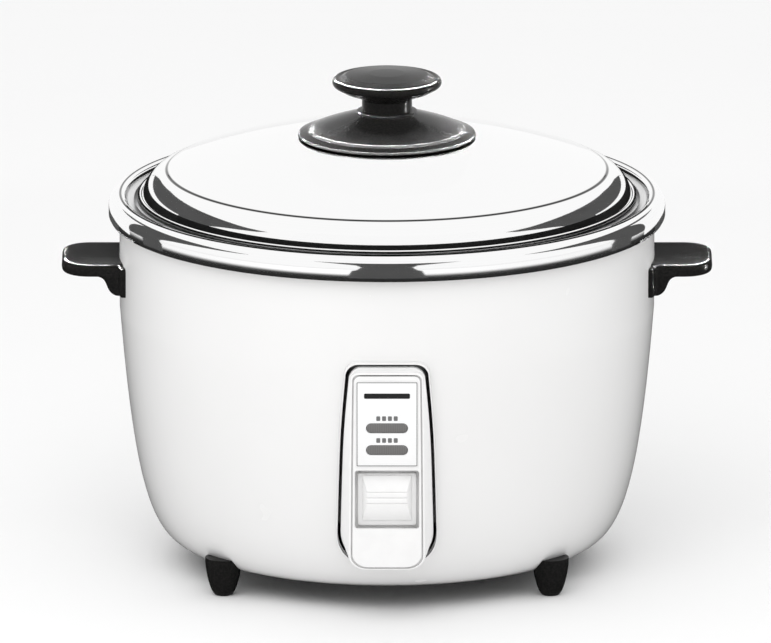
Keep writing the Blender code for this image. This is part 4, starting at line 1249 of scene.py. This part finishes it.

# coiled springs, each listed with its joint and the share of its length (keep) meant for that joint's end
springs = {
    "lever_spring": {
        "joint": "switch_lever_turn",
        "body": "housing",
        "wire": 0.0005,
        "turns": 6,
        "anchor": "top",
        "keep": 0.81,
    },
    "sensor_spring": {
        "joint": "sensor_press",
        "body": "housing",
        "wire": 0.0007,
        "turns": 4,
        "anchor": "base",
        "keep": 0.80,
    },
    "magnet_spring": {
        "joint": "magnet_lift",
        "body": "sensor",
        "wire": 0.0005,
        "turns": 4,
        "anchor": "top",
        "keep": 0.45,
    },
}


def makeSpring(node, spring):
    low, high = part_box(node)
    x, y = axisOf(node)
    wire, perTurn, sides = spring["wire"], 28, 10
    radius, rise = (high.x - low.x) / 2 - wire, high.z - low.z - 2 * wire
    count = spring["turns"] * perTurn
    around = [math.tau * k / sides for k in range(sides)]
    loops = []
    for i in range(count + 1):
        turn = math.tau * i / perTurn
        outward = Vector((math.cos(turn), math.sin(turn), 0))
        centre = Vector((x, y, low.z + wire + rise * i / count)) + outward * radius
        loops.append([centre + wire * (outward * math.cos(a) + Vector((0, 0, math.sin(a)))) for a in around])
    coil = newPiece(node.replace("_spring", "Coil"), lofted(loops), "spring_steel")
    fitted(coil, spring["body"], [node])
    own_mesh(coil)


for springNode, spring in springs.items():
    makeSpring(springNode, spring)
print("springs made")

# azimuths are in degrees from the front, growing to the right
camera = {"lens": 1000.0, "elevation": 14.0, "aim": (-0.001, 0.0, 0.1643), "distance": 14.511, "clip": 60.0}
room = {"world": 1.0, "floorTone": 0.90, "floorReach": 16.0}
cards = {
    "tone": 0.085,
    "deepTone": 0.022,
    "centre": (0, 0, 0.25),
    "distance": 0.95,
    "skirtDistance": 1.1,  # times the distance
    # rows of a card: an elevation, and the azimuths of its two ends
    "front": ((-14, -15, 15), (-6, -11, 11), (10, -9.5, 9.5), (24, -12, 12), (34, -22, 22), (42, -34, 34)),
    "ring": ((-14, 98, 112), (0, 98, 113), (14, 96, 114), (22, 88, 114)),
    "skirt": ((-12, 100, 158), (4, 98, 158), (14, 93, 156), (24, 84, 148), (34, 68, 128), (39, 64, 84)),
}
# lies on the floor all round, and turns pale at a radius of fade
edgeCard = {"radii": (0.10, 0.24, 0.6, 1.2, 1.6), "height": 0.003, "sides": 64, "fade": (1.10, 0.06)}
# upright strips close round the cooker: radius, heights, azimuths of the ends, finish
hoops = {
    # the first strip is dark and sits in the gap under the lid's edge, seen only in reflections: a painted
    # shade standing in for the shadow in that gap
    "edgeShadeHoop": (0.1712, (0.2518, 0.2622), (-180, 180), "deepCard"),
    "skirtHoop": (0.1735, (0.2622, 0.2880), (-25, 25), "whiteCard"),
    "ringHoop0": (0.2000, (0.2360, 0.2760), (-116, -74), "whiteCard"),
    "ringHoop2": (0.2000, (0.2360, 0.2760), (74, 116), "whiteCard"),
    "knobHoop": (0.0609, (0.2950, 0.3420), (-180, 180), "whiteCard"),
}
handleCard = {"across": (0.180, 0.250), "back": 0.062, "heights": (0.196, 0.236)}


def seenFrom(azimuth, elevation, distance, centre):
    a, e = math.radians(azimuth), math.radians(elevation)
    away = Vector((math.sin(a) * math.cos(e), -math.cos(a) * math.cos(e), math.sin(e)))
    return Vector(centre) + away * distance


def makeFloor():
    finish = Finish("paleFloor", {"IOR": 1.3, "Specular IOR Level": 0.1})
    tone, reach = room["floorTone"], room["floorReach"]
    finish.link("Base Color", finish.noise(3.0).mixed(grey(tone), grey(tone - 0.008)))
    finish.link("Roughness", 0.7 + finish.noise(40.0) * 0.1)
    finishes["floor"] = finish.material
    rows = [[(-reach, y, 0), (reach, y, 0)] for y in (-reach, reach)]
    newPiece("paleFloorSheet", skinned(rows, closed=False)[0], "floor")


def makeWorld():
    world = bpy.data.worlds.new("softRoom")
    world.use_nodes = True
    back = world.node_tree.nodes["Background"]
    back.inputs["Color"].default_value = (1.0, 1.0, 1.0, 1.0)
    back.inputs["Strength"].default_value = room["world"]
    bpy.context.scene.world = world


def reflectedOnly(name, rows, finish, closed=False):
    # part of the studio that nothing but a reflection shows
    piece = newPiece(name, skinned(rows, closed)[0], finish)
    piece.visible_camera = False
    piece.visible_diffuse = False
    piece.visible_shadow = False


def makeCardFinishes():
    tone = cards["tone"]
    finishes["card"] = studioCard("darkCard", "Base Color", grey(tone), grey(tone * 0.9), 4.0)
    deep = Finish("deepCard", {"Specular IOR Level": 0.0})
    fade = deep.radius().above(*edgeCard["fade"])
    deep.link("Base Color", fade.mixed(grey(cards["deepTone"]), grey(0.9)))
    finishes["deepCard"] = deep.material
    glow = {"Emission Strength": 1.0, "Base Color": grey(0.0)}
    finishes["whiteCard"] = studioCard("whiteCard", "Emission Color", grey(1.0), grey(0.98), 4.0, glow)


def makeCard(name, rows, distance, side=1):
    steps, grid = 8, []
    for elevation, start, end in rows:
        reach = distance / max(math.cos(math.radians(elevation)), 0.2)
        turns = [side * (start + (end - start) * i / steps) for i in range(steps + 1)]
        grid.append([seenFrom(turn, elevation, reach, cards["centre"]) for turn in turns])
    reflectedOnly(name, grid, "card")


def makeCards():
    distance = cards["distance"]
    makeCard("frontCard", cards["front"], distance)
    for side in (-1, 1):
        makeCard(f"ringCard{side + 1}", cards["ring"], distance, side)
        makeCard(f"skirtCard{side + 1}", cards["skirt"], distance * cards["skirtDistance"], side)


def makeEdgeCard():
    turns = [math.tau * i / edgeCard["sides"] for i in range(edgeCard["sides"])]
    rows = [[(r * math.cos(a), r * math.sin(a), edgeCard["height"]) for a in turns] for r in edgeCard["radii"]]
    reflectedOnly("edgeCard", rows, "deepCard", closed=True)


def makeHoops():
    steps = 120
    for name, (radius, heights, (start, end), finish) in hoops.items():
        turns = [math.radians(start + (end - start) * i / steps) for i in range(steps + 1)]
        rows = [[(radius * math.sin(a), -radius * math.cos(a), z) for a in turns] for z in heights]
        reflectedOnly(name, rows, finish)


def makeHandleCards():
    # close behind the handles, so that their top faces mirror something dark
    back = handleCard["back"]
    for side in (-1, 1):
        rows = [[(side * x, back, z) for x in handleCard["across"]] for z in handleCard["heights"]]
        reflectedOnly(f"handleCard{side + 1}", rows, "card")


lamps = {
    "centre": (0, 0, 0.2),
    # azimuth, elevation, distance, size and power
    "softbox": (-12, 48, 2.2, (1.6, 1.6), 13),
    "sideStrip": (97, 4, 1.0, (0.05, 0.7), 30),
    "archHeight": 0.3,
}
# lamps along the arch where every edge with this tilt mirrors them to the front
highArch = {
    "tilt": 36.0,
    "reach": 80.0,
    "lamps": 15,
    "distance": 1.4,
    "wide": 0.20,
    "radiance": 1500.0,
    "falloff": 3.3,
}
lowArch = {
    "tilt": 62.0,
    "reach": 64.0,
    "lamps": 9,
    "distance": 1.2,
    "wide": 0.14,
    "radiance": 900.0,
    "falloff": 2.0,
}


def areaLamp(name, size, power, receivers=None):
    # with receivers, it draws only the bright lines on them
    lamp = bpy.data.lights.new(name, "AREA")
    lamp.shape = "RECTANGLE"
    lamp.size, lamp.size_y = size
    lamp.energy = power
    light = bpy.data.objects.new(name, lamp)
    bpy.context.scene.collection.objects.link(light)
    light.visible_camera = False
    light.visible_glossy = bool(receivers)
    if receivers:
        light.visible_diffuse = False
        lamp.cycles.use_multiple_importance_sampling = False
        light.light_linking.receiver_collection = receivers
    return light


def makeLamp(name, settings, receivers=None):
    azimuth, elevation, distance, size, power = settings
    light = areaLamp(name, size, power, receivers)
    light.location = seenFrom(azimuth, elevation, distance, lamps["centre"])
    light.rotation_euler = (Vector(lamps["centre"]) - light.location).to_track_quat("-Z", "Y").to_euler()


def archPlace(arch, turn):
    toCamera = seenFrom(0, camera["elevation"], 1, (0, 0, 0))
    normal = seenFrom(turn, 90 - arch["tilt"], 1, (0, 0, 0))
    facing = toCamera.dot(normal)
    return (2 * facing * normal - toCamera) * arch["distance"], facing


def makeArch(name, arch, receivers):
    step = 2 * arch["reach"] / (arch["lamps"] - 1)
    front = archPlace(arch, 0)[1]
    for i in range(arch["lamps"]):
        turn = -arch["reach"] + step * i
        place, facing = archPlace(arch, turn)
        along = archPlace(arch, turn + step / 2)[0] - archPlace(arch, turn - step / 2)[0]
        long, wide = along.length, arch["wide"]
        radiance = arch["radiance"] * (facing / front) ** arch["falloff"]
        light = areaLamp(f"{name}Lamp{i}", (long, wide), radiance * math.pi * long * wide, receivers)
        away = place.normalized()
        across = (along - along.dot(away) * away).normalized()
        aim = Matrix((across, away.cross(across), away)).transposed().to_4x4()
        light.matrix_world = Matrix.Translation(place + Vector((0, 0, lamps["archHeight"]))) @ aim


def lampGroup(name, pieces):
    group = bpy.data.collections.new(name)
    bpy.context.scene.collection.children.link(group)
    for piece in pieces:
        group.objects.link(piece)
    return group


def makeLights():
    makeLamp("topSoftbox", lamps["softbox"])
    blacks = lampGroup("blackPieces", [*grips, *knobPieces])
    for piece in blacks.objects:
        piece.visible_diffuse = False  # keeps the bright lines from scattering on to the enamel
    makeArch("high", highArch, blacks)
    makeArch("low", lowArch, lampGroup("collarPieces", knobPieces[:1]))
    makeLamp("sideStrip", lamps["sideStrip"], blacks)


def makeCamera():
    data = bpy.data.cameras.new("camera")
    data.lens = camera["lens"]
    data.sensor_width = 36.0
    data.clip_end = camera["clip"]
    seen = bpy.data.objects.new("camera", data)
    bpy.context.scene.collection.objects.link(seen)
    seen.location = seenFrom(0, camera["elevation"], camera["distance"], camera["aim"])
    seen.rotation_euler = (Vector(camera["aim"]) - seen.location).to_track_quat("-Z", "Y").to_euler()
    bpy.context.scene.camera = seen


makeFloor()
makeWorld()
makeCardFinishes()
makeCards()
makeEdgeCard()
makeHoops()
makeHandleCards()
makeLights()
makeCamera()
bpy.context.scene.view_settings.view_transform = "Standard"
print("studio made")
